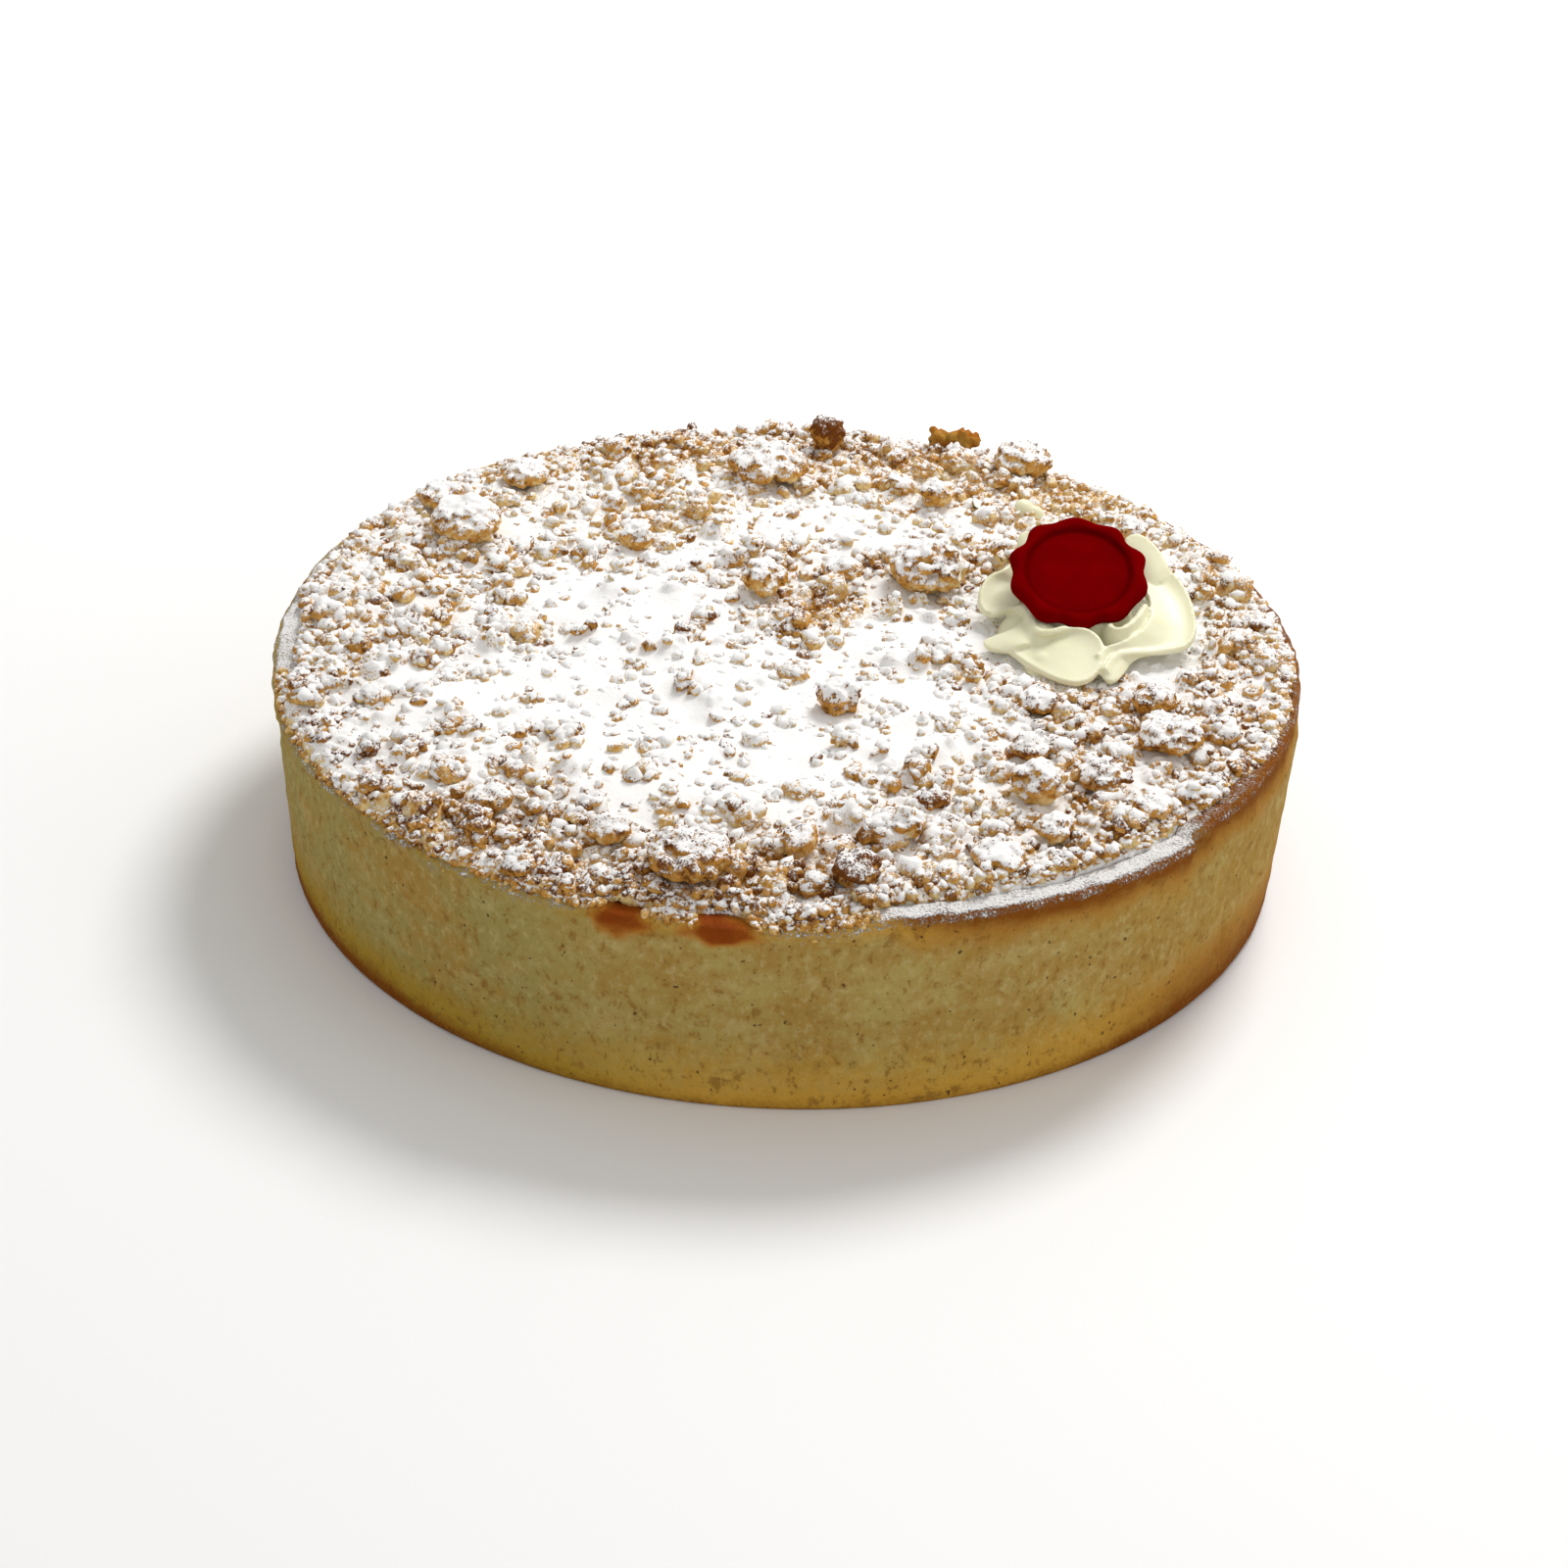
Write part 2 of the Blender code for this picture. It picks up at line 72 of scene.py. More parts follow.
def applyModifiers(obj):
    makeActive(obj)
    for modifier in list(obj.modifiers):
        bpy.ops.object.modifier_apply(modifier=modifier.name)


def readPoints(obj, what="co"):
    points = np.empty(len(obj.data.vertices) * 3, np.float32)
    obj.data.vertices.foreach_get(what, points)
    return points.reshape(-1, 3).astype(float)


def writePoints(obj, points):
    obj.data.vertices.foreach_set("co", points.astype(np.float32).ravel())
    obj.data.update()


def writeAttribute(obj, name, values):
    attribute = obj.data.attributes.get(name) or obj.data.attributes.new(name, "FLOAT", "POINT")
    attribute.data.foreach_set("value", np.asarray(values, np.float32))


def meshFromArrays(name, points, faces):
    # faces holds one row of corner numbers for each face, all rows equally long
    mesh = bpy.data.meshes.new(name)
    mesh.vertices.add(len(points))
    mesh.vertices.foreach_set("co", points.astype(np.float32).ravel())
    corners = faces.shape[1]
    mesh.loops.add(faces.size)
    mesh.loops.foreach_set("vertex_index", faces.astype(np.int32).ravel())
    mesh.polygons.add(len(faces))
    mesh.polygons.foreach_set("loop_start", np.arange(0, faces.size, corners, dtype=np.int32))
    mesh.update(calc_edges=True)
    obj = bpy.data.objects.new(name, mesh)
    bpy.context.scene.collection.objects.link(obj)
    return obj


def neighbourMean(obj, values):
    # each vertex gets the mean of the vertices that its edges lead to
    ends = np.empty(len(obj.data.edges) * 2, np.int32)
    obj.data.edges.foreach_get("vertices", ends)
    ends = ends.reshape(-1, 2)
    here, there = np.concatenate([ends[:, 0], ends[:, 1]]), np.concatenate([ends[:, 1], ends[:, 0]])
    count = np.maximum(np.bincount(here, minlength=len(values)), 1)
    columns = [np.bincount(here, weights=column[there], minlength=len(values)) for column in values.T]
    return np.stack(columns, axis=1) / count[:, None]


def writeLooks(obj, **fields):
    for name, values in fields.items():
        writeAttribute(obj, name, np.broadcast_to(values, len(obj.data.vertices)))


def fuse(obj, voxel, softening):
    # overlapping shapes become one closed skin
    remesh = obj.modifiers.new("Fuse", "REMESH")
    remesh.mode = "VOXEL"
    remesh.voxel_size = voxel
    soften = obj.modifiers.new("Soften", "SMOOTH")
    soften.factor = 0.5
    soften.iterations = softening
    applyModifiers(obj)


def creviceDepth(obj, rounds):
    # how far each vertex lies below its smoothed surroundings, in metres
    points, smoothed = readPoints(obj), readPoints(obj)
    for _ in range(rounds):
        smoothed = neighbourMean(obj, smoothed)
    return ((smoothed - points) * readPoints(obj, "normal")).sum(axis=1)


def smoothStep(low, high, value):
    share = np.clip((value - low) / (high - low), 0, 1)
    return share * share * (3 - 2 * share)


def softNoise(points, size, seed=0):
    # smooth noise from -1 to 1 with lumps of this size
    scaled = np.asarray(points, float) / size
    cell = np.floor(scaled).astype(np.int64)
    blend = scaled - cell
    blend = blend * blend * (3 - 2 * blend)
    total = np.zeros(len(scaled))
    for corner in np.ndindex(2, 2, 2):
        key = cell + np.array(corner)
        mixed = key[:, 0] * 73856093 ^ key[:, 1] * 19349663 ^ key[:, 2] * 83492791 ^ (seed + 1) * 39916801
        mixed = (mixed ^ (mixed >> 13)) * 1274126177
        value = ((mixed ^ (mixed >> 16)) & 0xFFFF) / 32767.5 - 1
        weight = np.prod(np.where(corner, blend, 1 - blend), axis=1)
        total += value * weight
    return total


def flatNoise(x, y, size, seed=0):
    points = np.stack([np.ravel(x), np.ravel(y), np.full(np.size(x), 0.0131)], axis=1)
    return softNoise(points, size, seed).reshape(np.shape(x))


def finishPiece(obj, material, slotName, *nodes):
    obj.data.materials.clear()
    obj.data.materials.append(material)
    makeActive(obj)
    bpy.ops.object.shade_smooth()
    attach(obj, "root")
    if nodes:
        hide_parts(*nodes)
    print(obj.name, "has", len(obj.data.polygons), "faces")


# Materials

def nodeGroup(name, inputs, outputs):
    group = bpy.data.node_groups.new(name, "ShaderNodeTree")
    for label, kind, value in inputs:
        socket = group.interface.new_socket(name=label, in_out="INPUT", socket_type=kind)
        if value is not None:
            socket.default_value = value
    for label, kind in outputs:
        group.interface.new_socket(name=label, in_out="OUTPUT", socket_type=kind)
    return group


class NodeMaker:
    # short calls for the nodes that the materials below share

    def __init__(self, tree):
        self.tree = tree

    def add(self, kind, **values):
        node = self.tree.nodes.new(kind)
        for key, value in values.items():
            setattr(node, key, value)
        return node

    def join(self, source, target):
        self.tree.links.new(source, target)

    def feed(self, socket, value):
        if isinstance(value, bpy.types.NodeSocket):
            self.join(value, socket)
        else:
            socket.default_value = value

    def math(self, operation, first, second):
        node = self.add("ShaderNodeMath", operation=operation)
        self.feed(node.inputs[0], first)
        self.feed(node.inputs[1], second)
        return node.outputs[0]

    def plus(self, first, second):
        return self.math("ADD", first, second)

    def minus(self, first, second):
        return self.math("SUBTRACT", first, second)

    def times(self, first, second):
        return self.math("MULTIPLY", first, second)

    def swing(self, noise, reach):
        # a noise from 0 to 1 becomes a swing about zero
        return self.times(self.minus(noise, 0.5), reach)

    def ramp(self, value, low, high, toLow=0.0, toHigh=1.0):
        node = self.add("ShaderNodeMapRange", interpolation_type="SMOOTHSTEP")
        self.feed(node.inputs["Value"], value)
        node.inputs["From Min"].default_value = low
        node.inputs["From Max"].default_value = high
        node.inputs["To Min"].default_value = toLow
        node.inputs["To Max"].default_value = toHigh
        return node.outputs["Result"]

    def mix(self, share, first, second):
        node = self.add("ShaderNodeMix", data_type="RGBA")
        self.feed(node.inputs["Factor"], share)
        self.feed(node.inputs[6], first)
        self.feed(node.inputs[7], second)
        return node.outputs[2]

    def noise(self, place, size, detail, roughness):
        node = self.add("ShaderNodeTexNoise")
        self.feed(node.inputs["Vector"], place)
        node.inputs["Scale"].default_value = 1 / size
        node.inputs["Detail"].default_value = detail
        node.inputs["Roughness"].default_value = roughness
        return node.outputs["Fac"]

    def stretched(self, place, scale):
        node = self.add("ShaderNodeVectorMath", operation="MULTIPLY")
        self.join(place, node.inputs[0])
        node.inputs[1].default_value = scale
        return node.outputs[0]

    def sugared(self, place, amount, snow, colour):
        # the shared dusting over a colour
        node = self.add("ShaderNodeGroup", node_tree=sugarGroup)
        self.join(place, node.inputs["Place"])
        self.join(self.upness(), node.inputs["Upness"])
        self.join(amount, node.inputs["Amount"])
        self.join(snow, node.inputs["Snow"])
        self.join(colour, node.inputs["Under Colour"])
        return node.outputs

    def attribute(self, name):
        return self.add("ShaderNodeAttribute", attribute_name=name).outputs["Fac"]

    def place(self):
        return self.add("ShaderNodeTexCoord").outputs["Object"]

    def upness(self):
        normal = self.add("ShaderNodeNewGeometry").outputs["Normal"]
        apart = self.add("ShaderNodeSeparateXYZ")
        self.join(normal, apart.inputs[0])
        return apart.outputs["Z"]

    def bump(self, height, distance, strength):
        node = self.add("ShaderNodeBump")
        self.feed(node.inputs["Height"], height)
        node.inputs["Distance"].default_value = distance
        node.inputs["Strength"].default_value = strength
        return node.outputs["Normal"]


def newMaterial(name, colour):
    material = bpy.data.materials.new(name)
    material.use_nodes = True
    material.diffuse_color = (*colour, 1)
    return material, NodeMaker(material.node_tree), material.node_tree.nodes["Principled BSDF"]


sugarLook = {
    "colour": (0.885, 0.875, 0.865, 1),
    "speckSize": 0.00055,
    "speckReach": 2.0,
    "driftSize": 0.0030,
    "driftReach": 0.9,
    "edge": 0.20,
    "veil": 0.15,
}


def makeSugarGroup():
    # icing sugar: it lies on what faces up, in specks where it thins out
    group = nodeGroup(
        "sugarDusting",
        [
            ("Place", "NodeSocketVector", None),
            ("Upness", "NodeSocketFloat", 0.0),
            ("Amount", "NodeSocketFloat", 0.5),
            ("Snow", "NodeSocketFloat", 0.0),
            ("Under Colour", "NodeSocketColor", None),
        ],
        [("Colour", "NodeSocketColor"), ("Mask", "NodeSocketFloat"), ("Height", "NodeSocketFloat")],
    )
    make = NodeMaker(group)
    given = make.add("NodeGroupInput").outputs
    result = make.add("NodeGroupOutput").inputs
    speck = make.noise(given["Place"], sugarLook["speckSize"], 1.5, 0.6)
    drift = make.noise(given["Place"], sugarLook["driftSize"], 2.0, 0.5)
    specks = make.swing(speck, sugarLook["speckReach"])
    drifts = make.swing(drift, sugarLook["driftReach"])
    level = make.plus(given["Upness"], given["Amount"])
    level = make.plus(level, make.plus(specks, drifts))
    dusted = make.ramp(level, 1.0 - sugarLook["edge"], 1.0 + sugarLook["edge"])
    snowy = make.ramp(make.plus(given["Snow"], make.times(specks, 0.45)), 0.30, 0.62)
    veil = make.ramp(level, 0.55, 1.0, 0.0, sugarLook["veil"])
    mask = make.math("MAXIMUM", make.math("MAXIMUM", dusted, snowy), veil)
    make.join(make.mix(mask, given["Under Colour"], sugarLook["colour"]), result["Colour"])
    make.join(mask, result["Mask"])
    make.join(make.times(mask, make.plus(speck, 0.6)), result["Height"])
    return group


crumbLook = {
    "pale": (0.80, 0.60, 0.27, 1),
    "golden": (0.61, 0.300, 0.058, 1),
    "brown": (0.175, 0.056, 0.011, 1),
    "char": (0.045, 0.022, 0.011, 1),
    "grainSize": 0.0009,
    "moteSize": 0.0026,
    "knobSize": 0.0013,
    "charSize": 0.0012,
    "bump": 0.00042,
}


def makeCrumbGroup():
    # baked crumble from pale dough to brown, by how toasted it is
    group = nodeGroup(
        "bakedCrumble",
        [
            ("Place", "NodeSocketVector", None),
            ("Toast", "NodeSocketFloat", 0.5),
            ("Crevice", "NodeSocketFloat", 0.0),
        ],
        [("Colour", "NodeSocketColor"), ("Height", "NodeSocketFloat"), ("Charred", "NodeSocketFloat")],
    )
    make = NodeMaker(group)
    given = make.add("NodeGroupInput").outputs
    result = make.add("NodeGroupOutput").inputs
    grain = make.noise(given["Place"], crumbLook["grainSize"], 3.0, 0.6)
    knobs = make.add("ShaderNodeTexVoronoi", feature="SMOOTH_F1")
    make.join(given["Place"], knobs.inputs["Vector"])
    knobs.inputs["Scale"].default_value = 1 / crumbLook["knobSize"]
    knobs.inputs["Smoothness"].default_value = 0.25
    knob = make.ramp(knobs.outputs["Distance"], 0.15, 0.85, 1.0, 0.0)
    mote = make.noise(given["Place"], crumbLook["moteSize"], 2.0, 0.5)
    toast = make.plus(given["Toast"], make.swing(mote, 0.9))
    toast = make.plus(toast, make.swing(grain, 0.7))
    toast = make.plus(toast, make.times(make.minus(knob, 0.6), 0.30))
    toast = make.minus(toast, make.times(given["Crevice"], 0.55))
    lower = make.mix(make.ramp(toast, 0.0, 0.55), crumbLook["pale"], crumbLook["golden"])
    colour = make.mix(make.ramp(toast, 0.5, 1.1), lower, crumbLook["brown"])
    # small dark specks, most of them where the crumble is browner
    speck = make.noise(given["Place"], crumbLook["charSize"], 1.0, 0.5)
    charred = make.ramp(make.plus(speck, make.times(given["Toast"], 0.05)), 0.71, 0.79)
    make.join(charred, result["Charred"])
    make.join(make.mix(make.times(charred, 0.7), colour, crumbLook["char"]), result["Colour"])
    make.join(make.plus(make.times(grain, 0.6), knob), result["Height"])
    return group


def makeCrumbMaterial(name):
    material, make, shader = newMaterial(name, crumbLook["golden"][:3])
    place = make.place()
    baked = make.add("ShaderNodeGroup", node_tree=crumbGroup)
    make.join(place, baked.inputs["Place"])
    make.join(make.attribute("toast"), baked.inputs["Toast"])
    make.join(make.attribute("crevice"), baked.inputs["Crevice"])
    thinned = make.times(baked.outputs["Charred"], 0.40)
    amount = make.minus(make.attribute("dust"), thinned)
    snow = make.minus(make.attribute("snow"), make.times(thinned, 0.5))
    sugar = make.sugared(place, amount, snow, baked.outputs["Colour"])
    make.join(sugar["Colour"], shader.inputs["Base Color"])
    shader.inputs["Roughness"].default_value = 0.9
    shader.inputs["Specular IOR Level"].default_value = 0.04
    bare = make.ramp(sugar["Mask"], 0.0, 1.0, 1.0, 0.12)
    height = make.plus(make.times(baked.outputs["Height"], bare), make.times(sugar["Height"], 0.25))
    make.join(make.bump(height, crumbLook["bump"], 0.8), shader.inputs["Normal"])
    return material


pastryLook = {
    "pale": (0.460, 0.352, 0.108, 1),
    # painted shade: a darker copy of the pale dough for the left side
    "leftShadePale": (0.375, 0.298, 0.092, 1),
    "tan": (0.410, 0.250, 0.058, 1),
    "light": (0.56, 0.445, 0.185, 1),
    "golden": (0.67, 0.380, 0.052, 1),
    # painted shade: a darker copy of the golden for the left side
    "leftShadeGolden": (0.44, 0.275, 0.030, 1),
    "russet": (0.43, 0.205, 0.034, 1),
    "brown": (0.235, 0.070, 0.005, 1),
    "caramel": (0.260, 0.047, 0.002, 1),
    "ember": (0.50, 0.168, 0.012, 1),
    "spot": (0.29, 0.138, 0.024, 1),
    "speck": (0.065, 0.026, 0.009, 1),
    "mottleSize": 0.0065,
    "blotchSize": 0.0085,
    "cloudSize": 0.026,
    "patchSize": 0.017,
    "fleckSize": 0.0021,
    "grainSize": 0.0009,
    "spotSize": 0.0046,
    "speckSize": 0.0014,
    "bump": 0.00120,
}


def makePastryMaterial():
    material, make, shader = newMaterial("shortcrust", pastryLook["pale"][:3])
    place = make.place()
    mottle = make.noise(place, pastryLook["mottleSize"], 5.0, 0.70)
    blotch = make.noise(make.stretched(place, (1, 1, 1.5)), pastryLook["blotchSize"], 6.0, 0.72)
    cloud = make.noise(place, pastryLook["cloudSize"], 3.0, 0.55)
    flecks = make.noise(make.stretched(place, (1, 1, 0.75)), pastryLook["fleckSize"], 6.0, 0.70)
    grain = make.noise(place, pastryLook["grainSize"], 3.0, 0.6)
    toasted = make.attribute("toast")
    warmth = make.attribute("warmth")
    caramel = make.attribute("caramel")
    toast = make.plus(make.plus(toasted, make.swing(mottle, 0.55)), make.swing(grain, 0.30))
    # the dough turns from pale on the left to tan on the right, with lighter patches and flecks; on the
    # left the pale is a darker copy, painted shade
    tanShare = make.plus(make.times(blotch, 0.70), make.times(cloud, 0.80))
    tanShare = make.plus(tanShare, make.times(warmth, 0.16))
    pale = make.mix(make.ramp(warmth, 0.0, 0.30), pastryLook["leftShadePale"], pastryLook["pale"])
    dough = make.mix(make.ramp(tanShare, 0.68, 0.93), pale, pastryLook["tan"])
    patches = make.noise(make.stretched(place, (1, 1, 1.6)), pastryLook["patchSize"], 4.0, 0.60)
    dough = make.mix(make.times(make.ramp(patches, 0.50, 0.70), 0.38), dough, pastryLook["light"])
    lightShare = make.times(make.ramp(flecks, 0.35, 0.49, 1.0, 0.0), 0.55)
    dough = make.mix(lightShare, dough, pastryLook["light"])
    # toasted dough: golden, then brown, and redder along the rim; on the left the golden is a darker copy,
    # painted shade
    golden = make.mix(make.ramp(warmth, 0.0, 0.40), pastryLook["leftShadeGolden"], pastryLook["golden"])
    golden = make.mix(make.attribute("russet"), golden, pastryLook["russet"])
    colour = make.mix(make.ramp(toast, 0.0, 0.85), dough, golden)
    colour = make.mix(make.ramp(toast, 0.60, 1.25), colour, pastryLook["brown"])
    freckles = make.times(make.ramp(flecks, 0.55, 0.65), 0.75)
    colour = make.mix(freckles, colour, pastryLook["spot"])
    spotNoise = make.noise(place, pastryLook["spotSize"], 3.0, 0.65)
    spots = make.times(make.ramp(make.plus(spotNoise, make.times(toasted, 0.03)), 0.60, 0.72), 0.70)
    colour = make.mix(spots, colour, pastryLook["spot"])
    speckNoise = make.noise(place, pastryLook["speckSize"], 0.0, 0.5)
    colour = make.mix(make.times(make.ramp(speckNoise, 0.79, 0.84), 0.8), colour, pastryLook["speck"])
    # burnt patches are darkest in the middle and fade through orange
    depth = make.plus(caramel, make.swing(mottle, 0.6))
    burnt = make.mix(make.ramp(depth, 0.40, 1.05), pastryLook["ember"], pastryLook["caramel"])
    colour = make.mix(make.ramp(caramel, 0.0, 0.95), colour, burnt)
    sugar = make.sugared(place, make.attribute("dust"), make.attribute("snow"), colour)
    make.join(sugar["Colour"], shader.inputs["Base Color"])
    make.join(make.ramp(caramel, 0.0, 1.0, 0.85, 0.40), shader.inputs["Roughness"])
    shader.inputs["Specular IOR Level"].default_value = 0.05
    height = make.plus(make.times(grain, 0.5), make.minus(1.0, flecks))
    height = make.plus(height, make.times(sugar["Height"], 0.8))
    make.join(make.bump(height, pastryLook["bump"], 0.85), shader.inputs["Normal"])
    return material


creamLook = {
    "shaded": (0.79, 0.775, 0.53, 1),
    "lit": (0.82, 0.80, 0.57, 1),
}
sealLook = {
    "dark": (0.150, 0.0002, 0.0006, 1),
    "light": (0.172, 0.0002, 0.0007, 1),
    # painted shade: the darker red in the groove inside the rim
    "recess": (0.085, 0.0001, 0.0003, 1),
}


def makeCreamMaterial():
    material, make, shader = newMaterial("pipedCream", (0.93, 0.89, 0.68))
    place = make.place()
    cloud = make.noise(place, 0.009, 2.0, 0.5)
    colour = make.mix(make.ramp(cloud, 0.35, 0.65), creamLook["shaded"], creamLook["lit"])
    make.join(colour, shader.inputs["Base Color"])
    shader.inputs["Roughness"].default_value = 0.42
    shader.inputs["Specular IOR Level"].default_value = 0.4
    shader.inputs["Subsurface Weight"].default_value = 0.20
    shader.inputs["Subsurface Radius"].default_value = (1.0, 0.75, 0.4)
    shader.inputs["Subsurface Scale"].default_value = 0.0025
    fine = make.noise(place, 0.0016, 2.0, 0.5)
    make.join(make.bump(fine, 0.00006, 0.6), shader.inputs["Normal"])
    return material


def makeSealMaterial():
    material, make, shader = newMaterial("sealRed", (0.24, 0.002, 0.003))
    place = make.place()
    cloud = make.noise(place, 0.006, 2.0, 0.5)
    colour = make.mix(make.ramp(cloud, 0.35, 0.65), sealLook["dark"], sealLook["light"])
    # painted shade darkens the groove inside the rim
    colour = make.mix(make.attribute("recess"), colour, sealLook["recess"])
    make.join(colour, shader.inputs["Base Color"])
    shader.inputs["Roughness"].default_value = 0.45
    shader.inputs["Specular IOR Level"].default_value = 0.0
    fine = make.noise(place, 0.0012, 2.0, 0.5)
    make.join(make.bump(fine, 0.00004, 0.5), shader.inputs["Normal"])
    return material


sugarGroup = makeSugarGroup()
crumbGroup = makeCrumbGroup()
crumbMaterial = makeCrumbMaterial("sugaredCrumble")
pastryMaterial = makePastryMaterial()
creamMaterial = makeCreamMaterial()
sealMaterial = makeSealMaterial()
print("materials made")


# The rim's own unevenness, as the solids have it

rimShape = {
    "radius": caseHigh.x,
    "height": 0.050,
    "width": 0.0062,
    "recess": 0.0065,
    "wave": 0.0006,
    "seamAngle": -41,
    "seamStep": 0.0014,
    "seamFade": 70,
    "lowDrop": 0.0024,
    "coveredFrom": -168,
    "coveredTo": -82,
    "coverFade": 9,
    "lipRadius": 0.1186,
    "narrowRim": 0.1172,
}
innerRadius = rimShape["radius"] - rimShape["width"]


def coveredShare(angle):
    # 1 where the crumble hides the rim, angles in radians
    middle = math.radians((rimShape["coveredFrom"] + rimShape["coveredTo"]) / 2)
    half = math.radians((rimShape["coveredTo"] - rimShape["coveredFrom"]) / 2)
    away = np.abs((angle - middle + math.pi) % math.tau - math.pi)
    return smoothStep(0, 1, (half - away) / math.radians(rimShape["coverFade"]) + 0.5)


def rimLift(angle):
    wave = np.sin(3 * angle + 0.6) + 0.6 * np.sin(5 * angle + 2.1)
    pastSeam = (angle - math.radians(rimShape["seamAngle"])) % math.tau
    step = rimShape["seamStep"] * (1 - smoothStep(0, math.radians(rimShape["seamFade"]), pastSeam))
    return rimShape["wave"] * wave + step - rimShape["lowDrop"] * coveredShare(angle)


# Pastry case

caseShape = {
    "baseRadius": 0.1165,
    "rimRound": 0.0016,
    "baseRound": 0.0016,
    "steps": 800,
    "wallRings": 60,
    "waviness": 0.00040,
    "lumpiness": 0.00038,
    "grain": 0.00009,
    # small pits in the wall: angle in degrees, height, radius and depth in millimetres
    "pits": (
        (-85.5, 12.7, 0.9, 1.0),
        (-81.9, 12.2, 0.9, 1.1),
        (-47.4, 43.9, 0.8, 0.9),
        (-63.5, 42.2, 0.6, 0.5),
        (-136.9, 44.5, 0.5, 0.6),
        (-121.5, 17.0, 0.5, 0.6),
        (-77.1, 1.6, 1.3, 1.2),
        (-52.0, 24.0, 0.5, 0.4),
        (-99.0, 27.0, 0.4, 0.4),
    ),
    # shallow creases: angle and height of each end, and depth
    "creases": (
        (-93, 38.8, -66, 42.8, 0.30),
        (-74, 33.0, -58, 36.2, 0.16),
        (-31.8, 24.0, -30.4, 6.0, 0.85),
        (-33.6, 13.0, -31.0, 9.0, 0.45),
    ),
    "creaseWidth": 0.7,
    "stripInset": 0.0011,
    "stripEnd": 0.0003,
    "proudEdge": 0.00022,
    # smooth burnt patches: angle, height, half length and half height in millimetres
    "caramel": ((-106.0, 47.6, 8.8, 6.6), (-95.6, 47.5, 10.4, 5.6)),
}
caseLook = {
    # the toasted band under the rim: depth and strength, and what the right side has on top
    "band": (0.0060, 0.50),
    "bandRight": (0.0070, 1.05),
    # toast of the lower wall and of the foot, and how high each reaches; the left foot's share is painted
    # shade
    "lowerWall": (0.62, 0.026),
    "foot": (0.27, 0.0062),
    # painted shade: extra darkening of the left foot
    "leftFootShade": (0.42, 0.017),
    "rightFoot": (0.30, 0.009, 0.024),
    "rightSide": 0.12,
    # sugar in specks down the wall, under the spilled crumble and under the bare rim
    "spilledDust": (0.88, 0.0012, 0.0066),
    "rimDust": (0.80, 0.0010, 0.0040),
    "rimSnow": 0.66,
}


def casePath():
    # radius and height, from the middle of the recess over the rim to the middle of the base
    radius, height = rimShape["radius"], rimShape["height"]
    floorHeight = height - rimShape["recess"]
    rounding, baseRounding = caseShape["rimRound"], caseShape["baseRound"]
    path = [(0, floorHeight), (0.06, floorHeight), (0.1, floorHeight), (innerRadius, floorHeight)]
    for share in (0.3, 0.6, 1.0):
        path.append((innerRadius, floorHeight + share * (rimShape["recess"] - rounding)))
    for turn in (30, 60, 90):
        bend = math.radians(turn)
        inwards = rounding * (1 - math.cos(bend))
        path.append((innerRadius + inwards, height - rounding * (1 - math.sin(bend))))
    flat = rimShape["width"] - 2 * rounding
    path += [(innerRadius + rounding + flat * share / 4, height) for share in (1, 2, 3, 4)]
    for turn in (22, 45, 67, 90):
        bend = math.radians(turn)
        inwards = rounding * (1 - math.sin(bend))
        path.append((radius - inwards, height - rounding * (1 - math.cos(bend))))
    for ring in range(1, caseShape["wallRings"] + 1):
        share = ring / caseShape["wallRings"]
        ringHeight = (height - rounding) * (1 - share) + baseRounding * share
        path.append((radius + (caseShape["baseRadius"] - radius) * share, ringHeight))
    for turn in (30, 60, 90):
        bend = math.radians(turn)
        inwards = baseRounding * (1 - math.cos(bend))
        path.append((caseShape["baseRadius"] - inwards, baseRounding * (1 - math.sin(bend))))
    return path + [(0.1, 0), (0.05, 0), (0, 0)]


def arcAt(degrees):
    # millimetres along the rim's circle
    return degrees * math.radians(1) * rimShape["radius"] / millimetre


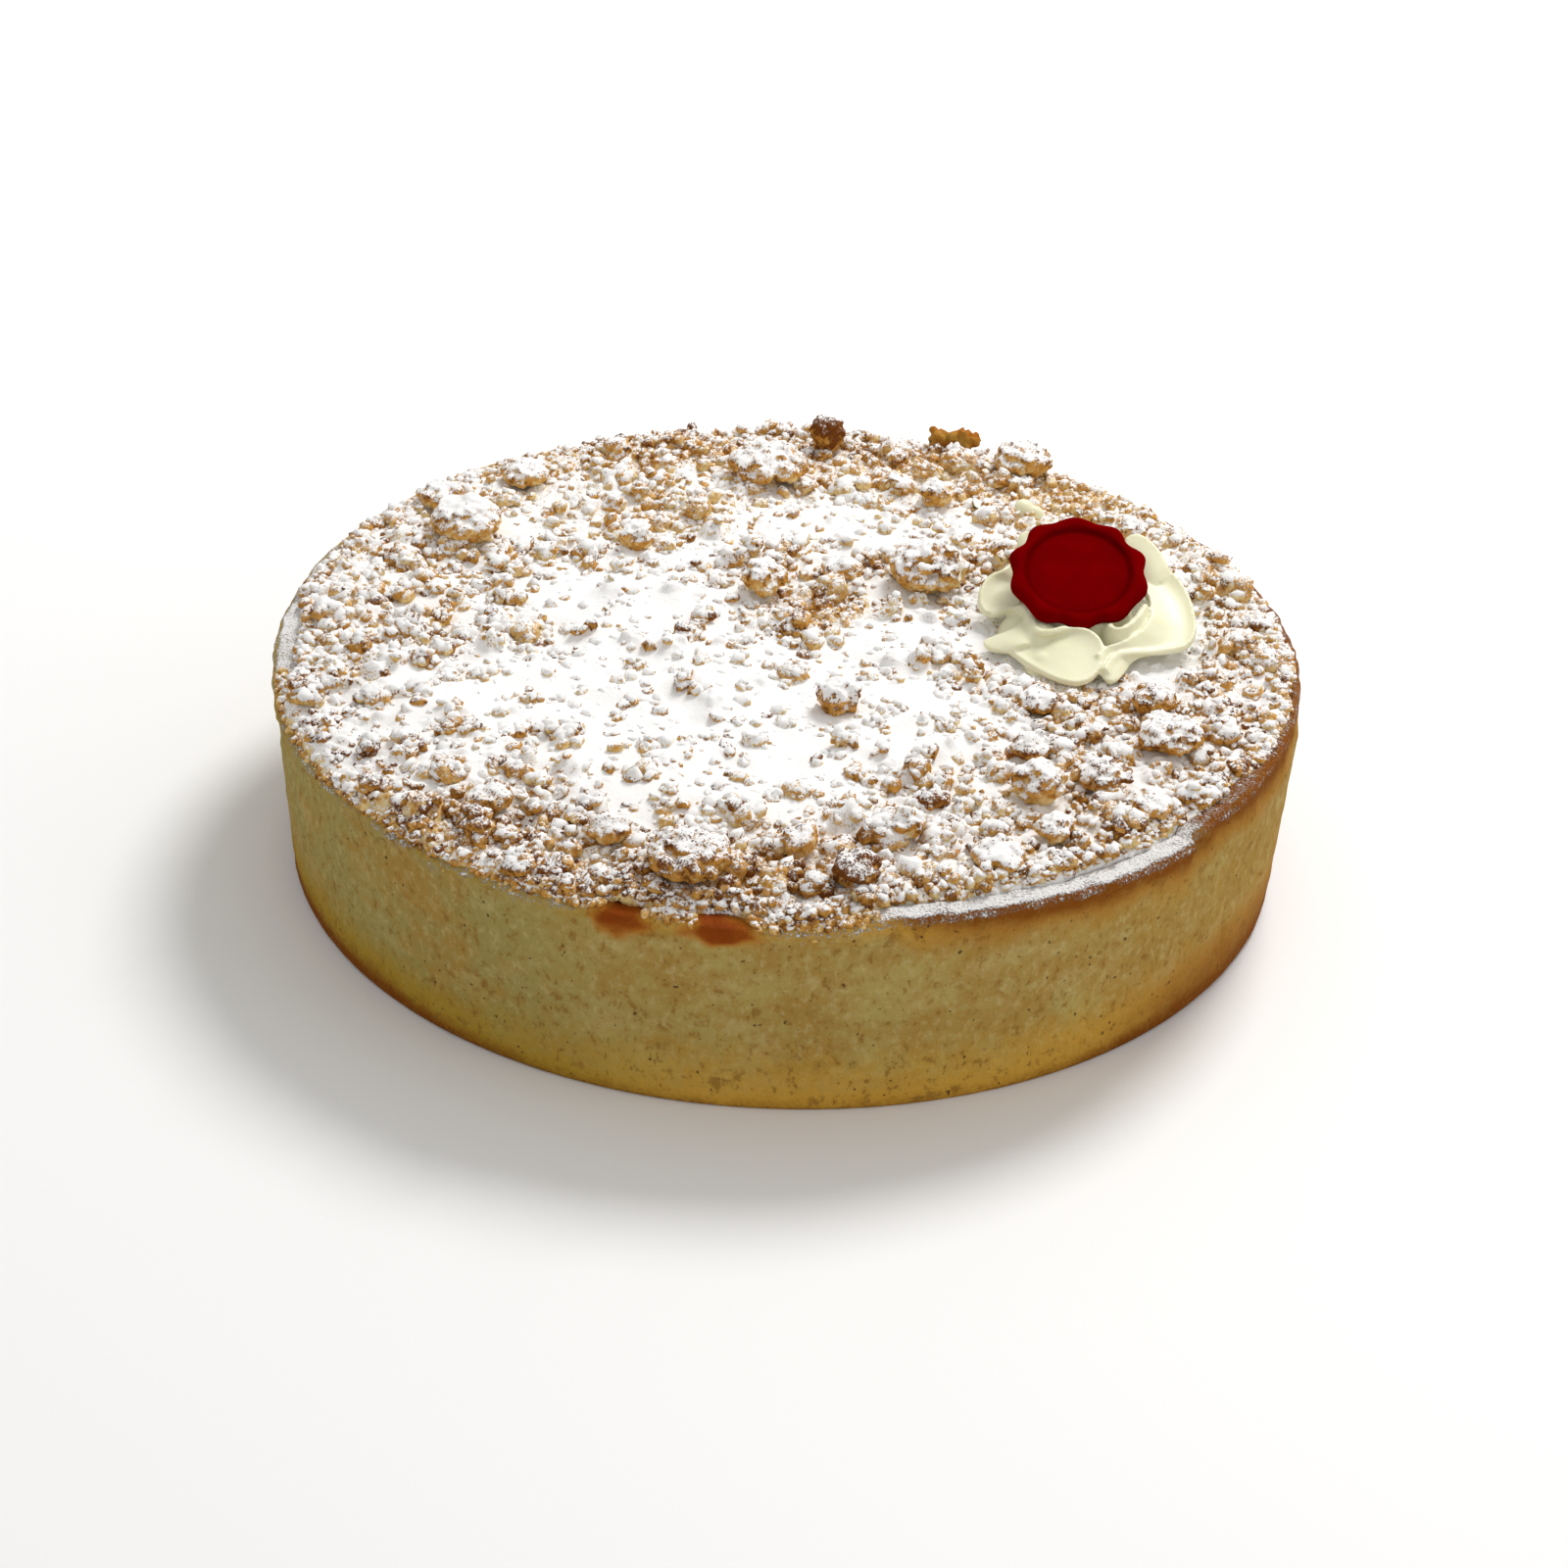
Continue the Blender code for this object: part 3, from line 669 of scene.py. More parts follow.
def wallPush(points, angle, height):
    # how far each point of the wall moves outwards
    push = caseShape["waviness"] * softNoise(points, 0.014, 1)
    push += caseShape["lumpiness"] * softNoise(points, 0.0042, 2)
    push += caseShape["grain"] * softNoise(points, 0.0016, 3)
    arc, up = arcAt(np.degrees(angle)), height / millimetre
    for pitAngle, pitHeight, pitRadius, depth in caseShape["pits"]:
        away = np.hypot(arc - arcAt(pitAngle), (up - pitHeight) * 1.1) / pitRadius
        push -= depth * millimetre * np.exp(-(away**4))
    wander = 0.5 * softNoise(points, 0.006, 9)
    for fromAngle, fromHeight, toAngle, toHeight, depth in caseShape["creases"]:
        start = np.array([arcAt(fromAngle), fromHeight])
        along = np.array([arcAt(toAngle), toHeight]) - start
        reach = ((arc - start[0]) * along[0] + (up - start[1]) * along[1]) / (along @ along)
        reach = np.clip(reach, 0, 1)
        away = np.hypot(arc - start[0] - reach * along[0], up - start[1] - reach * along[1] + wander)
        fade = np.sin(np.clip(reach, 0.02, 0.98) * math.pi) ** 0.5
        push -= depth * millimetre * fade * np.exp(-((away / caseShape["creaseWidth"]) ** 2))
    # past the seam the strip of dough sits further in
    pastSeam = (angle - math.radians(rimShape["seamAngle"])) % math.tau
    inset = (1 - smoothStep(0, math.radians(95), pastSeam)) * smoothStep(0.041, 0.0475, height)
    push -= caseShape["stripInset"] * inset
    beforeSeam = (math.radians(rimShape["seamAngle"]) - angle) % math.tau
    stripEnd = (1 - smoothStep(0, math.radians(38), beforeSeam)) * smoothStep(0.0445, 0.0475, height)
    push += caseShape["stripEnd"] * stripEnd
    # the rim's outer edge is proud of the wall and crumbly
    crumbly = 1 + softNoise(points, 0.0025, 4)
    push += caseShape["proudEdge"] * smoothStep(0.0465, 0.0485, height) * crumbly
    # under the spilled crumble the wall's top is granular
    granular = coveredShare(angle) * smoothStep(0.0445, 0.0480, height)
    return push + granular * (0.00022 * softNoise(points, 0.0022, 11) + 0.00012)


def colourCase(case, points, newHeight):
    # how toasted and how sugared the dough is, with painted shade on the left side and on the left foot
    radius, height = np.hypot(points[:, 0], points[:, 1]), points[:, 2]
    angle = np.arctan2(points[:, 1], points[:, 0])
    mottled = 0.5 + 0.5 * softNoise(points, 0.011, 7)
    ragged = softNoise(points, 0.0035, 10)
    belowRim = rimShape["height"] + rimLift(angle) - newHeight
    rightSide = smoothStep(-1.50, -1.20, angle) * (1 - smoothStep(1.3, 2.6, angle))
    # painted shade: where the foot is darkened on the left
    leftFootShade = 1 - smoothStep(-2.6, -1.9, angle) * (1 - smoothStep(1.9, 2.6, angle))
    rightFoot = smoothStep(-1.1, -0.6, angle) * (1 - smoothStep(0.9, 2.2, angle))
    depth, strength = caseLook["band"]
    deeper, stronger = caseLook["bandRight"]
    away = belowRim / (depth + deeper * rightSide) * (0.75 + 0.5 * mottled)
    toast = (strength + stronger * rightSide) * np.clip(1 - away, 0, 1) ** 1.15 * (1 + 0.12 * ragged)
    strength, reach = caseLook["lowerWall"]
    toast += strength * (1 - smoothStep(0.0, reach, height))
    # toast of the foot, with painted shade added on the left foot
    strength, reach = caseLook["foot"]
    toast += (strength + 0.21 * leftFootShade + 0.20 * rightFoot) * (1 - smoothStep(0.0, reach, height))
    # painted shade: the left foot darkened further
    strength, reach = caseLook["leftFootShade"]
    toast += strength * leftFootShade * (1 - smoothStep(0.0, reach, height))
    strength, start, reach = caseLook["rightFoot"]
    toast += strength * rightFoot * (1 - smoothStep(start, reach, height))
    toast += caseLook["rightSide"] * smoothStep(-1.3, -0.5, angle) * (1 - smoothStep(0.6, 2.6, angle))
    russet = rightSide * smoothStep(0.030, 0.042, height)
    russet += rightFoot * (1 - smoothStep(0.014, 0.030, height))
    caramel = np.zeros(len(points))
    arc, up = arcAt(np.degrees(angle)), height / millimetre
    for patchAngle, patchHeight, wide, tall in caseShape["caramel"]:
        away = np.hypot((arc - arcAt(patchAngle)) / wide, (up - patchHeight) / tall)
        caramel = np.maximum(caramel, 1 - smoothStep(0.42, 1.22, away + 0.26 * ragged))

    # sugar lies on the rim and in specks a few millimetres down the wall, whichever way it faces
    spilled = coveredShare(angle)
    pastSeam = smoothStep(math.radians(-43), math.radians(-36), angle) * (1 - smoothStep(2.6, 3.0, angle))
    strength, start, reach = caseLook["spilledDust"]
    dust = spilled * strength * (1 - smoothStep(start, reach, belowRim + 0.0010 * ragged))
    strength, start, reach = caseLook["rimDust"]
    rimDust = (strength - 0.08 * pastSeam) * (1 - smoothStep(start, reach, belowRim + 0.0008 * ragged))
    dust += (1 - spilled) * rimDust
    facingUp = 1 - smoothStep(0.0002, 0.0016, belowRim)
    dust -= facingUp + 0.9 * caramel
    snow = caseLook["rimSnow"] - 0.32 * pastSeam + 0.10 * ragged
    snow *= 1 - smoothStep(0.1184, 0.1206, radius)
    snow *= 1 - smoothStep(0.0003, 0.0014, belowRim + 0.0003 * ragged)
    # the share that runs from 0 on the left to 1 on the right sets the tan on the right and the painted
    # shade on the left
    writeLooks(
        case,
        toast=toast,
        russet=np.clip(russet, 0, 1),
        warmth=smoothStep(-2.3, -0.8, angle) * (1 - smoothStep(1.6, 3.1, angle)),
        caramel=0.95 * caramel,
        dust=dust,
        snow=snow * (1 - spilled),
    )


def makePastryCase():
    path = casePath()
    deselectAll()
    bpy.ops.mesh.primitive_plane_add(size=0.001, location=(0, 0, path[0][1]))
    case = nameNew("pastryCase")
    bpy.ops.object.transform_apply()
    bpy.ops.object.mode_set(mode="EDIT")
    bpy.ops.mesh.select_all(action="SELECT")
    bpy.ops.mesh.merge(type="CENTER")
    for here, there in zip(path, path[1:]):
        move = (there[0] - here[0], 0, there[1] - here[1])
        bpy.ops.mesh.extrude_region_move(TRANSFORM_OT_translate={"value": move})
    bpy.ops.mesh.select_all(action="SELECT")
    bpy.ops.mesh.spin(steps=caseShape["steps"], angle=math.tau, center=(0, 0, 0), axis=(0, 0, 1))
    bpy.ops.mesh.select_all(action="SELECT")
    bpy.ops.mesh.remove_doubles(threshold=0.00001)
    bpy.ops.mesh.normals_make_consistent(inside=False)
    bpy.ops.object.mode_set(mode="OBJECT")

    # the even case gets its wavy rim and its uneven wall
    flatPoints = readPoints(case)
    radius, height = np.hypot(flatPoints[:, 0], flatPoints[:, 1]), flatPoints[:, 2]
    angle = np.arctan2(flatPoints[:, 1], flatPoints[:, 0])
    topShare = smoothStep(rimShape["height"] - rimShape["recess"], rimShape["height"], height)
    newHeight = height + rimLift(angle) * topShare * (radius > innerRadius - 0.001)
    ripple = 0.00030 * softNoise(flatPoints, 0.0055, 5) + 0.00016 * softNoise(flatPoints, 0.0018, 6)
    newHeight += smoothStep(0.0485, 0.0500, height) * ripple
    outer = smoothStep(innerRadius, rimShape["radius"] - 0.001, radius)
    push = wallPush(flatPoints, angle, height) * outer * smoothStep(0.0001, 0.002, height)
    shift = 1 + push / np.maximum(radius, 0.02)
    newHeight = np.where(height < 0.0004, 0, newHeight)
    writePoints(case, np.stack([flatPoints[:, 0] * shift, flatPoints[:, 1] * shift, newHeight], axis=1))
    colourCase(case, flatPoints, newHeight)
    finishPiece(case, pastryMaterial, "pastry", "pastry_case")


makePastryCase()
print("pastry case done")


# Height maps of the crumble, seen from above: one value every quarter of a millimetre

mapCell = 0.00025
mapSide = 1024
mapMiddle = (mapSide - 1) / 2
mapRows, mapColumns = np.mgrid[0:mapSide, 0:mapSide]
mapX, mapY = (mapColumns - mapMiddle) * mapCell, (mapRows - mapMiddle) * mapCell


def readMap(field, x, y):
    column = np.clip(np.asarray(x) / mapCell + mapMiddle, 0, mapSide - 1.001)
    row = np.clip(np.asarray(y) / mapCell + mapMiddle, 0, mapSide - 1.001)
    left, low = column.astype(int), row.astype(int)
    across, up = column - left, row - low
    lower = field[low, left] * (1 - across) + field[low, left + 1] * across
    upper = field[low + 1, left] * (1 - across) + field[low + 1, left + 1] * across
    return lower * (1 - up) + upper * up


def blurMap(field, spread):
    rows = np.fft.fftfreq(mapSide, mapCell)[:, None]
    columns = np.fft.rfftfreq(mapSide, mapCell)[None, :]
    kernel = np.exp(-2 * (math.pi * spread) ** 2 * (rows**2 + columns**2))
    return np.fft.irfft2(np.fft.rfft2(field) * kernel, s=field.shape)


def solidTopMap(nodeName, fallback, step=4):
    # the top of a CAD solid, read by rays every millimetre and blended between them
    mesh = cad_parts[nodeName].data
    tree = BVHTree.FromPolygons([v.co for v in mesh.vertices], [tuple(p.vertices) for p in mesh.polygons])
    side = mapSide // step + 1
    coarse = np.full((side, side), fallback)
    down = Vector((0, 0, -1))
    for row in range(side):
        for column in range(side):
            x, y = (column * step - mapMiddle) * mapCell, (row * step - mapMiddle) * mapCell
            if math.hypot(x, y) < rimShape["radius"]:
                hit = tree.ray_cast(Vector((x, y, 0.1)), down)[0]
                if hit:
                    coarse[row, column] = hit.z
    place = mapRows / step, mapColumns / step
    row, column = np.minimum(place[0].astype(int), side - 2), np.minimum(place[1].astype(int), side - 2)
    up, across = place[0] - row, place[1] - column
    lower = coarse[row, column] * (1 - across) + coarse[row, column + 1] * across
    upper = coarse[row + 1, column] * (1 - across) + coarse[row + 1, column + 1] * across
    return lower * (1 - up) + upper * up


sugarShape = {
    # drifts of icing sugar: x, y, half lengths along X and Y in millimetres, and strength
    "drifts": (
        (-40, 14, 26, 17, 1.0),
        (-52, -28, 34, 17, 1.0),
        (-12, -22, 26, 15, 1.0),
        (24, -26, 24, 13, 0.95),
        (2, -60, 16, 22, 0.8),
        (-34, -52, 20, 14, 0.6),
        (26, 3, 18, 12, 1.0),
        (28, -50, 14, 12, 0.5),
        (-98, 22, 10, 22, 0.30),
        (8, 62, 20, 12, 0.55),
        (-70, 56, 13, 11, 0.6),
        (-88, -44, 16, 14, 0.35),
        (26, 26, 13, 9, 0.60),
        (-26, 28, 16, 10, 0.65),
        (-44, -76, 26, 11, 0.45),
        (-76, -66, 12, 10, 0.35),
        (26, 58, 22, 18, 0.35),
        (46, 72, 12, 9, 0.25),
        (-24, 92, 20, 9, 0.25),
        (86, 12, 10, 16, 0.5),
        (52, -46, 24, 18, 0.25),
        (84, -56, 14, 16, 0.2),
        (-22, -73, 18, 10, 0.6),
        (-24, 46, 20, 11, 0.3),
        (-74, 50, 12, 10, 0.4),
        (48, -70, 14, 10, 0.30),
        (26, -74, 14, 10, 0.30),
        (26, -96, 10, 7, 0.20),
        (-24, -96, 12, 7, 0.20),
        (0, -2, 12, 8, 0.40),
    ),
    # places that the sugar missed
    "bare": (
        (10, 18, 16, 8, 0.95),
        (-46, 70, 26, 12, 0.25),
        (-2, -97, 11, 7, 0.30),
        (-30, 100, 70, 13, 0.55),
        (60, 84, 40, 18, 0.55),
        (-70, -84, 34, 14, 0.65),
        (-20, -106, 50, 10, 0.5),
        (60, -21, 20, 11, 0.55),
        (104, 10, 9, 34, 0.3),
        (-84, 38, 16, 9, 0.3),
        (62, 44, 14, 10, 0.4),
        (79, -25, 12, 6, 0.5),
        (76, -72, 14, 12, 0.45),
    ),
    "usual": 0.36,
}


def sugarAmount(x, y):
    amount = np.full(np.shape(x), sugarShape["usual"])
    for sign, places in ((1, sugarShape["drifts"]), (-1, sugarShape["bare"])):
        for middleX, middleY, wide, tall, strength in places:
            away = ((x / millimetre - middleX) / wide) ** 2 + ((y / millimetre - middleY) / tall) ** 2
            amount = amount + sign * strength * np.exp(-away)
    amount = amount + 0.22 * flatNoise(x, y, 0.011, 21) + 0.14 * flatNoise(x, y, 0.0045, 22)
    return np.clip(amount, -0.3, 1.15)


bedShape = {
    "pebbleSpacing": 0.0019,
    "pebbleSmallest": 0.0013,
    "pebbleLargest": 0.0034,
    "rumple": 0.0005,
    "snowLow": -0.0013,
    "snowHigh": 0.0009,
    "snowSoftness": 0.0002,
    "snowSpread": 0.0028,
    "grid": 300,
    "skirtDepth": 0.0053,
    "edgeDive": 0.0016,
    "seed": 31,
}


def scatterPlaces(rng, spacing):
    # uneven hexagonal rows of places over the whole top
    count = int(0.26 / spacing)
    column, row = np.meshgrid(np.arange(count), np.arange(int(count / 0.87)))
    x = (column + 0.5 * (row % 2)) * spacing - 0.13 + rng.uniform(-0.42, 0.42, column.shape) * spacing
    y = row * spacing * 0.87 - 0.13 + rng.uniform(-0.42, 0.42, column.shape) * spacing
    x, y = x.ravel(), y.ravel()
    order = rng.permutation(len(x))
    return x[order], y[order]


def topRadius(angle):
    # how far the crumble reaches, with an uneven edge where it meets or spills over the rim
    wobble = (np.sin(17 * angle + 1.0) + np.sin(31 * angle + 2.0) + 0.7 * np.sin(53 * angle)) / 2.7
    inner = innerRadius + 0.0009 + 0.0006 * wobble
    outer = rimShape["lipRadius"] + 0.0006 + 0.0006 * wobble
    for patchAngle, _, wide, _ in caseShape["caramel"]:
        away = (angle - math.radians(patchAngle)) * outer / (wide * millimetre)
        outer = outer - 0.0036 * np.exp(-(away**4))
    pastSeam = (np.asarray(angle) - math.radians(rimShape["seamAngle"])) % math.tau
    narrow = smoothStep(math.radians(2), math.radians(30), pastSeam) * (1 - smoothStep(3.6, 3.9, pastSeam))
    inner = inner + (rimShape["narrowRim"] - innerRadius) * narrow
    return inner + (outer - inner) * coveredShare(angle)


def rimTop(angle):
    return rimShape["height"] + rimLift(angle)


def edgeDrop(x, y):
    # the edge rounds off over the last few millimetres
    angle = np.arctan2(y, x)
    fromEdge = topRadius(angle) - np.hypot(x, y)
    covered = coveredShare(angle)
    return (0.0009 + 0.0007 * covered) * (1 - smoothStep(0, 0.0022 + 0.0020 * covered, fromEdge))


def stampPebbles(heightMap, toastMap, rng):
    x, y = scatterPlaces(rng, bedShape["pebbleSpacing"])
    inside = np.hypot(x, y) < rimShape["lipRadius"]
    x, y = x[inside], y[inside]
    share = rng.uniform(0, 1, len(x)) ** 1.8
    size = bedShape["pebbleSmallest"] + (bedShape["pebbleLargest"] - bedShape["pebbleSmallest"]) * share
    ground = readMap(heightMap, x, y)
    rise = rng.uniform(-0.25, 0.32, len(x)) * size
    squash = rng.uniform(0.75, 1.3, len(x))
    turn = rng.uniform(0, math.pi, len(x))
    toast = rng.uniform(0, 1, len(x))
    for k in range(len(x)):
        half = size[k] / 2
        reach = int(half * 1.35 / mapCell) + 1
        column, row = int(x[k] / mapCell + mapMiddle), int(y[k] / mapCell + mapMiddle)
        if not (reach < column < mapSide - reach and reach < row < mapSide - reach):
            continue
        window = slice(row - reach, row + reach + 1), slice(column - reach, column + reach + 1)
        awayX, awayY = mapX[window] - x[k], mapY[window] - y[k]
        along = awayX * math.cos(turn[k]) + awayY * math.sin(turn[k])
        across = awayY * math.cos(turn[k]) - awayX * math.sin(turn[k])
        inside = 1 - ((along * squash[k]) ** 2 + (across / squash[k]) ** 2) / half**2
        dome = ground[k] + rise[k] + half * (np.sqrt(np.maximum(inside, 0)) - 0.35)
        higher = (inside > 0) & (dome > heightMap[window])
        heightMap[window][higher] = dome[higher]
        toastMap[window][higher] = toast[k]


def makeTopMaps():
    rng = np.random.default_rng(bedShape["seed"])
    ground = solidTopMap("crumble", 0.0500)
    ground = blurMap(ground, 0.0006)
    ground += bedShape["rumple"] * flatNoise(mapX, mapY, 0.0038, 23)
    heightMap, toastMap = ground.copy(), np.full(ground.shape, 0.15)
    stampPebbles(heightMap, toastMap, rng)
    heightMap = blurMap(heightMap, 0.00022)
    amount = sugarAmount(mapX, mapY)
    depth = bedShape["snowLow"] + (bedShape["snowHigh"] - bedShape["snowLow"]) * np.clip(amount, 0, 1.15)
    snowMap = blurMap(heightMap, bedShape["snowSpread"]) + depth
    gap = heightMap - snowMap
    soft = bedShape["snowSoftness"]
    topMap = snowMap + soft * np.logaddexp(0, gap / soft)
    return topMap, snowMap, toastMap, amount, ground


topMap, snowMap, toastMap, amountMap, groundMap = makeTopMaps()
print("height maps done")


def regionToast(x, y):
    # the crumble is browner at the back and along the front left edge
    radius, angle = np.hypot(x, y), np.arctan2(y, x)
    back = smoothStep(0.060, 0.112, np.asarray(y))
    left = smoothStep(0.098, 0.114, radius) * coveredShare(angle)
    right = smoothStep(0.03, 0.10, np.asarray(x)) * (1 - smoothStep(-0.02, 0.03, np.asarray(y)))
    return 0.12 * back + 0.26 * left + 0.10 * right


def sandyShare(y):
    # towards the back the crumble is finer and more even
    return smoothStep(0.044, 0.064, y) * (1 - smoothStep(0.094, 0.106, y))


def dustOf(amount, most=0.62):
    return 0.22 + most * np.clip(amount, -0.3, 1.0)


def makeCrumbleBed():
    cells = bedShape["grid"]
    deselectAll()
    bpy.ops.mesh.primitive_grid_add(x_subdivisions=cells, y_subdivisions=cells, size=2, location=(0, 0, 0))
    bed = nameNew("crumbleBed")
    bpy.ops.object.transform_apply()
    points = readPoints(bed)
    a, b = points[:, 0], points[:, 1]
    wide = np.abs(a) > np.abs(b)
    reach = np.where(wide, a, b)
    safe = np.where(np.abs(reach) < 1e-9, 1, reach)
    turn = np.where(wide, math.pi / 4 * b / safe, math.pi / 2 - math.pi / 4 * a / safe)
    x, y = reach * np.cos(turn), reach * np.sin(turn)
    edge = topRadius(np.arctan2(y, x))
    x, y = x * edge, y * edge
    rim = rimTop(np.arctan2(y, x)) + 0.0004
    z = readMap(topMap, x, y) - edgeDrop(x, y)
    z = np.where(np.hypot(x, y) > innerRadius - 0.0006, np.maximum(z, rim), z)
    z -= bedShape["edgeDive"] * (1 - smoothStep(0, 0.0009, edge - np.hypot(x, y)))
    points = np.stack([x, y, z], axis=1)
    writePoints(bed, points)

    # a skirt under the edge, and a bottom, close the piece
    bpy.ops.object.mode_set(mode="EDIT")
    bpy.ops.mesh.select_mode(type="EDGE")
    bpy.ops.mesh.select_all(action="DESELECT")
    bpy.ops.mesh.select_non_manifold()
    bpy.ops.mesh.extrude_region_move(TRANSFORM_OT_translate={"value": (0, 0, -0.0005)})
    bpy.ops.mesh.extrude_region_move(TRANSFORM_OT_translate={"value": (0, 0, -bedShape["skirtDepth"])})
    bpy.ops.mesh.edge_face_add()
    bpy.ops.mesh.select_all(action="SELECT")
    bpy.ops.mesh.normals_make_consistent(inside=False)
    bpy.ops.object.mode_set(mode="OBJECT")
    topCount = len(points)
    points = readPoints(bed)
    skirt = points[topCount:]
    angle = np.arctan2(skirt[:, 1], skirt[:, 0])
    lowest = skirt[:, 2] < 0.0458
    inset = innerRadius - 0.0004
    ratio = inset / np.hypot(skirt[:, 0], skirt[:, 1])
    skirt[:, 0] *= ratio
    skirt[:, 1] *= ratio
    floorHeight = rimShape["height"] - rimShape["recess"] + 0.0002
    skirt[:, 2] = np.where(lowest, floorHeight, np.minimum(rimTop(angle) + 0.0001, skirt[:, 2]))
    points[topCount:] = skirt
    writePoints(bed, points)

    x, y, z = points.T
    crevice = np.clip((readMap(blurMap(topMap, 0.0012), x, y) - z) / 0.0008, 0, 1)
    toast = 0.10 + 0.55 * readMap(toastMap, x, y) + regionToast(x, y)
    # where the crumble spills over the rim its edge is bare of sugar
    angle = np.arctan2(y, x)
    fromEdge = topRadius(angle) - np.hypot(x, y)
    inner = 1 - coveredShare(angle) * (1 - smoothStep(0.0030, 0.0060, fromEdge))
    snow = inner * smoothStep(-0.0004, 0.0003, readMap(snowMap, x, y) - z)
    writeLooks(bed, toast=toast, crevice=crevice, dust=dustOf(readMap(amountMap, x, y)), snow=snow)
    finishPiece(bed, crumbMaterial, "crumble", "crumble")


makeCrumbleBed()
print("crumble bed done")


# Crumbs: a few shapes, copied over the top at all sizes

def makeCrumbShape(name, cuts, roundness, unevenness, seed):
    deselectAll()
    bpy.ops.mesh.primitive_cube_add(size=1, location=(0, 0, 0))
    shape = nameNew(name)
    bpy.ops.object.mode_set(mode="EDIT")
    bpy.ops.mesh.select_all(action="SELECT")
    bpy.ops.mesh.subdivide(number_cuts=cuts)
    bpy.ops.transform.tosphere(value=roundness)
    bpy.ops.transform.vertex_random(offset=unevenness, uniform=0.3, normal=0.5, seed=seed)
    bpy.ops.object.mode_set(mode="OBJECT")
    points = readPoints(shape)
    points -= (points.max(axis=0) + points.min(axis=0)) / 2
    points /= np.ptp(points, axis=0).mean()
    faces = np.array([tuple(face.vertices) for face in shape.data.polygons])
    bpy.data.objects.remove(shape, do_unlink=True)
    return points, faces


coarseShapes = [makeCrumbShape(f"crumbShape{k}", 2, 0.70, 0.15, 40 + k) for k in range(6)]
fineShapes = [makeCrumbShape(f"fineShape{k}", 1, 0.75, 0.15, 60 + k) for k in range(5)]


def randomTurns(rng, count):
    # evenly random rotation matrices
    q = rng.normal(size=(count, 4))
    w, x, y, z = (q / np.linalg.norm(q, axis=1, keepdims=True)).T
    rows = [
        [1 - 2 * (y * y + z * z), 2 * (x * y - w * z), 2 * (x * z + w * y)],
        [2 * (x * y + w * z), 1 - 2 * (x * x + z * z), 2 * (y * z - w * x)],
        [2 * (x * z - w * y), 2 * (y * z + w * x), 1 - 2 * (x * x + y * y)],
    ]
    return np.moveaxis(np.array(rows), 2, 0)


def copyShapes(shapes, places, sizes, rng, flatness=0.9):
    # one mesh's points and faces with a turned and scaled copy of a shape at each place
    turns = randomTurns(rng, len(places))
    which = rng.integers(0, len(shapes), len(places))
    allPoints, allFaces, owners, start = [], [], [], 0
    for number, (shapePoints, shapeFaces) in enumerate(shapes):
        chosen = np.flatnonzero(which == number)
        if not len(chosen):
            continue
        stretch = rng.uniform(0.66, 1.3, (len(chosen), 1, 3))
        turned = np.einsum("nij,nvj->nvi", turns[chosen], shapePoints[None] * stretch)
        turned = turned * sizes[chosen][:, None, None] * np.array([1, 1, flatness])
        turned = turned + places[chosen][:, None, :]
        count = len(shapePoints)
        offsets = start + np.arange(len(chosen))[:, None, None] * count
        allPoints.append(turned.reshape(-1, 3))
        allFaces.append((shapeFaces[None] + offsets).reshape(-1, shapeFaces.shape[1]))
        owners.append(np.repeat(chosen, count))
        start += count * len(chosen)
    return np.concatenate(allPoints), np.concatenate(allFaces), np.concatenate(owners)


clumpNames = sorted(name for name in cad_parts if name.startswith("clump_"))
clumpBoxes = [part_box(name) for name in clumpNames]
clumpMiddles = np.array([(low + high) / 2 for low, high in clumpBoxes])
clumpHalves = np.array([(high - low) / 2 for low, high in clumpBoxes])
creamMiddle = (0.070, 0.010)


def clearOfPieces(x, y, clumpShare, creamReach):
    away = np.hypot(x[:, None] - clumpMiddles[None, :, 0], y[:, None] - clumpMiddles[None, :, 1])
    clear = (away > clumpShare * clumpHalves[None, :, :2].mean(axis=2)).all(axis=1)
    return clear & (np.hypot(x - creamMiddle[0], y - creamMiddle[1]) > creamReach)


def colourCrumbs(crumbs, places, sizes, owners, rng):
    # half of the crumbs broke after the sugar fell and show their baked colour
    x, y, z = places.T
    bare = rng.uniform(0, 1, len(x)) < 0.50 - 0.24 * np.clip(readMap(amountMap, x, y), 0, 1)
    toast = 0.06 + 0.78 * rng.uniform(0, 1, len(x)) ** 1.4 + regionToast(x, y) + 0.14 * bare
    toast *= 1 - 0.35 * sandyShare(y)
    points = readPoints(crumbs)
    # each crumb is browner on top and paler below
    upwards = np.clip((points[:, 2] - z[owners]) / sizes[owners], -0.5, 0.5)
    amount = readMap(amountMap, x, y) + rng.uniform(-0.20, 0.20, len(x))
    amount = np.where(bare, 0.30 * amount - 0.12, amount + 0.56)
    buried = readMap(snowMap, points[:, 0], points[:, 1]) - points[:, 2]
    writeLooks(
        crumbs,
        toast=toast[owners] + 0.38 * upwards,
        crevice=0,
        dust=dustOf(amount, 0.52)[owners],
        snow=smoothStep(-0.0004, 0.0004, buried),
    )
    finishPiece(crumbs, crumbMaterial, "crumble")


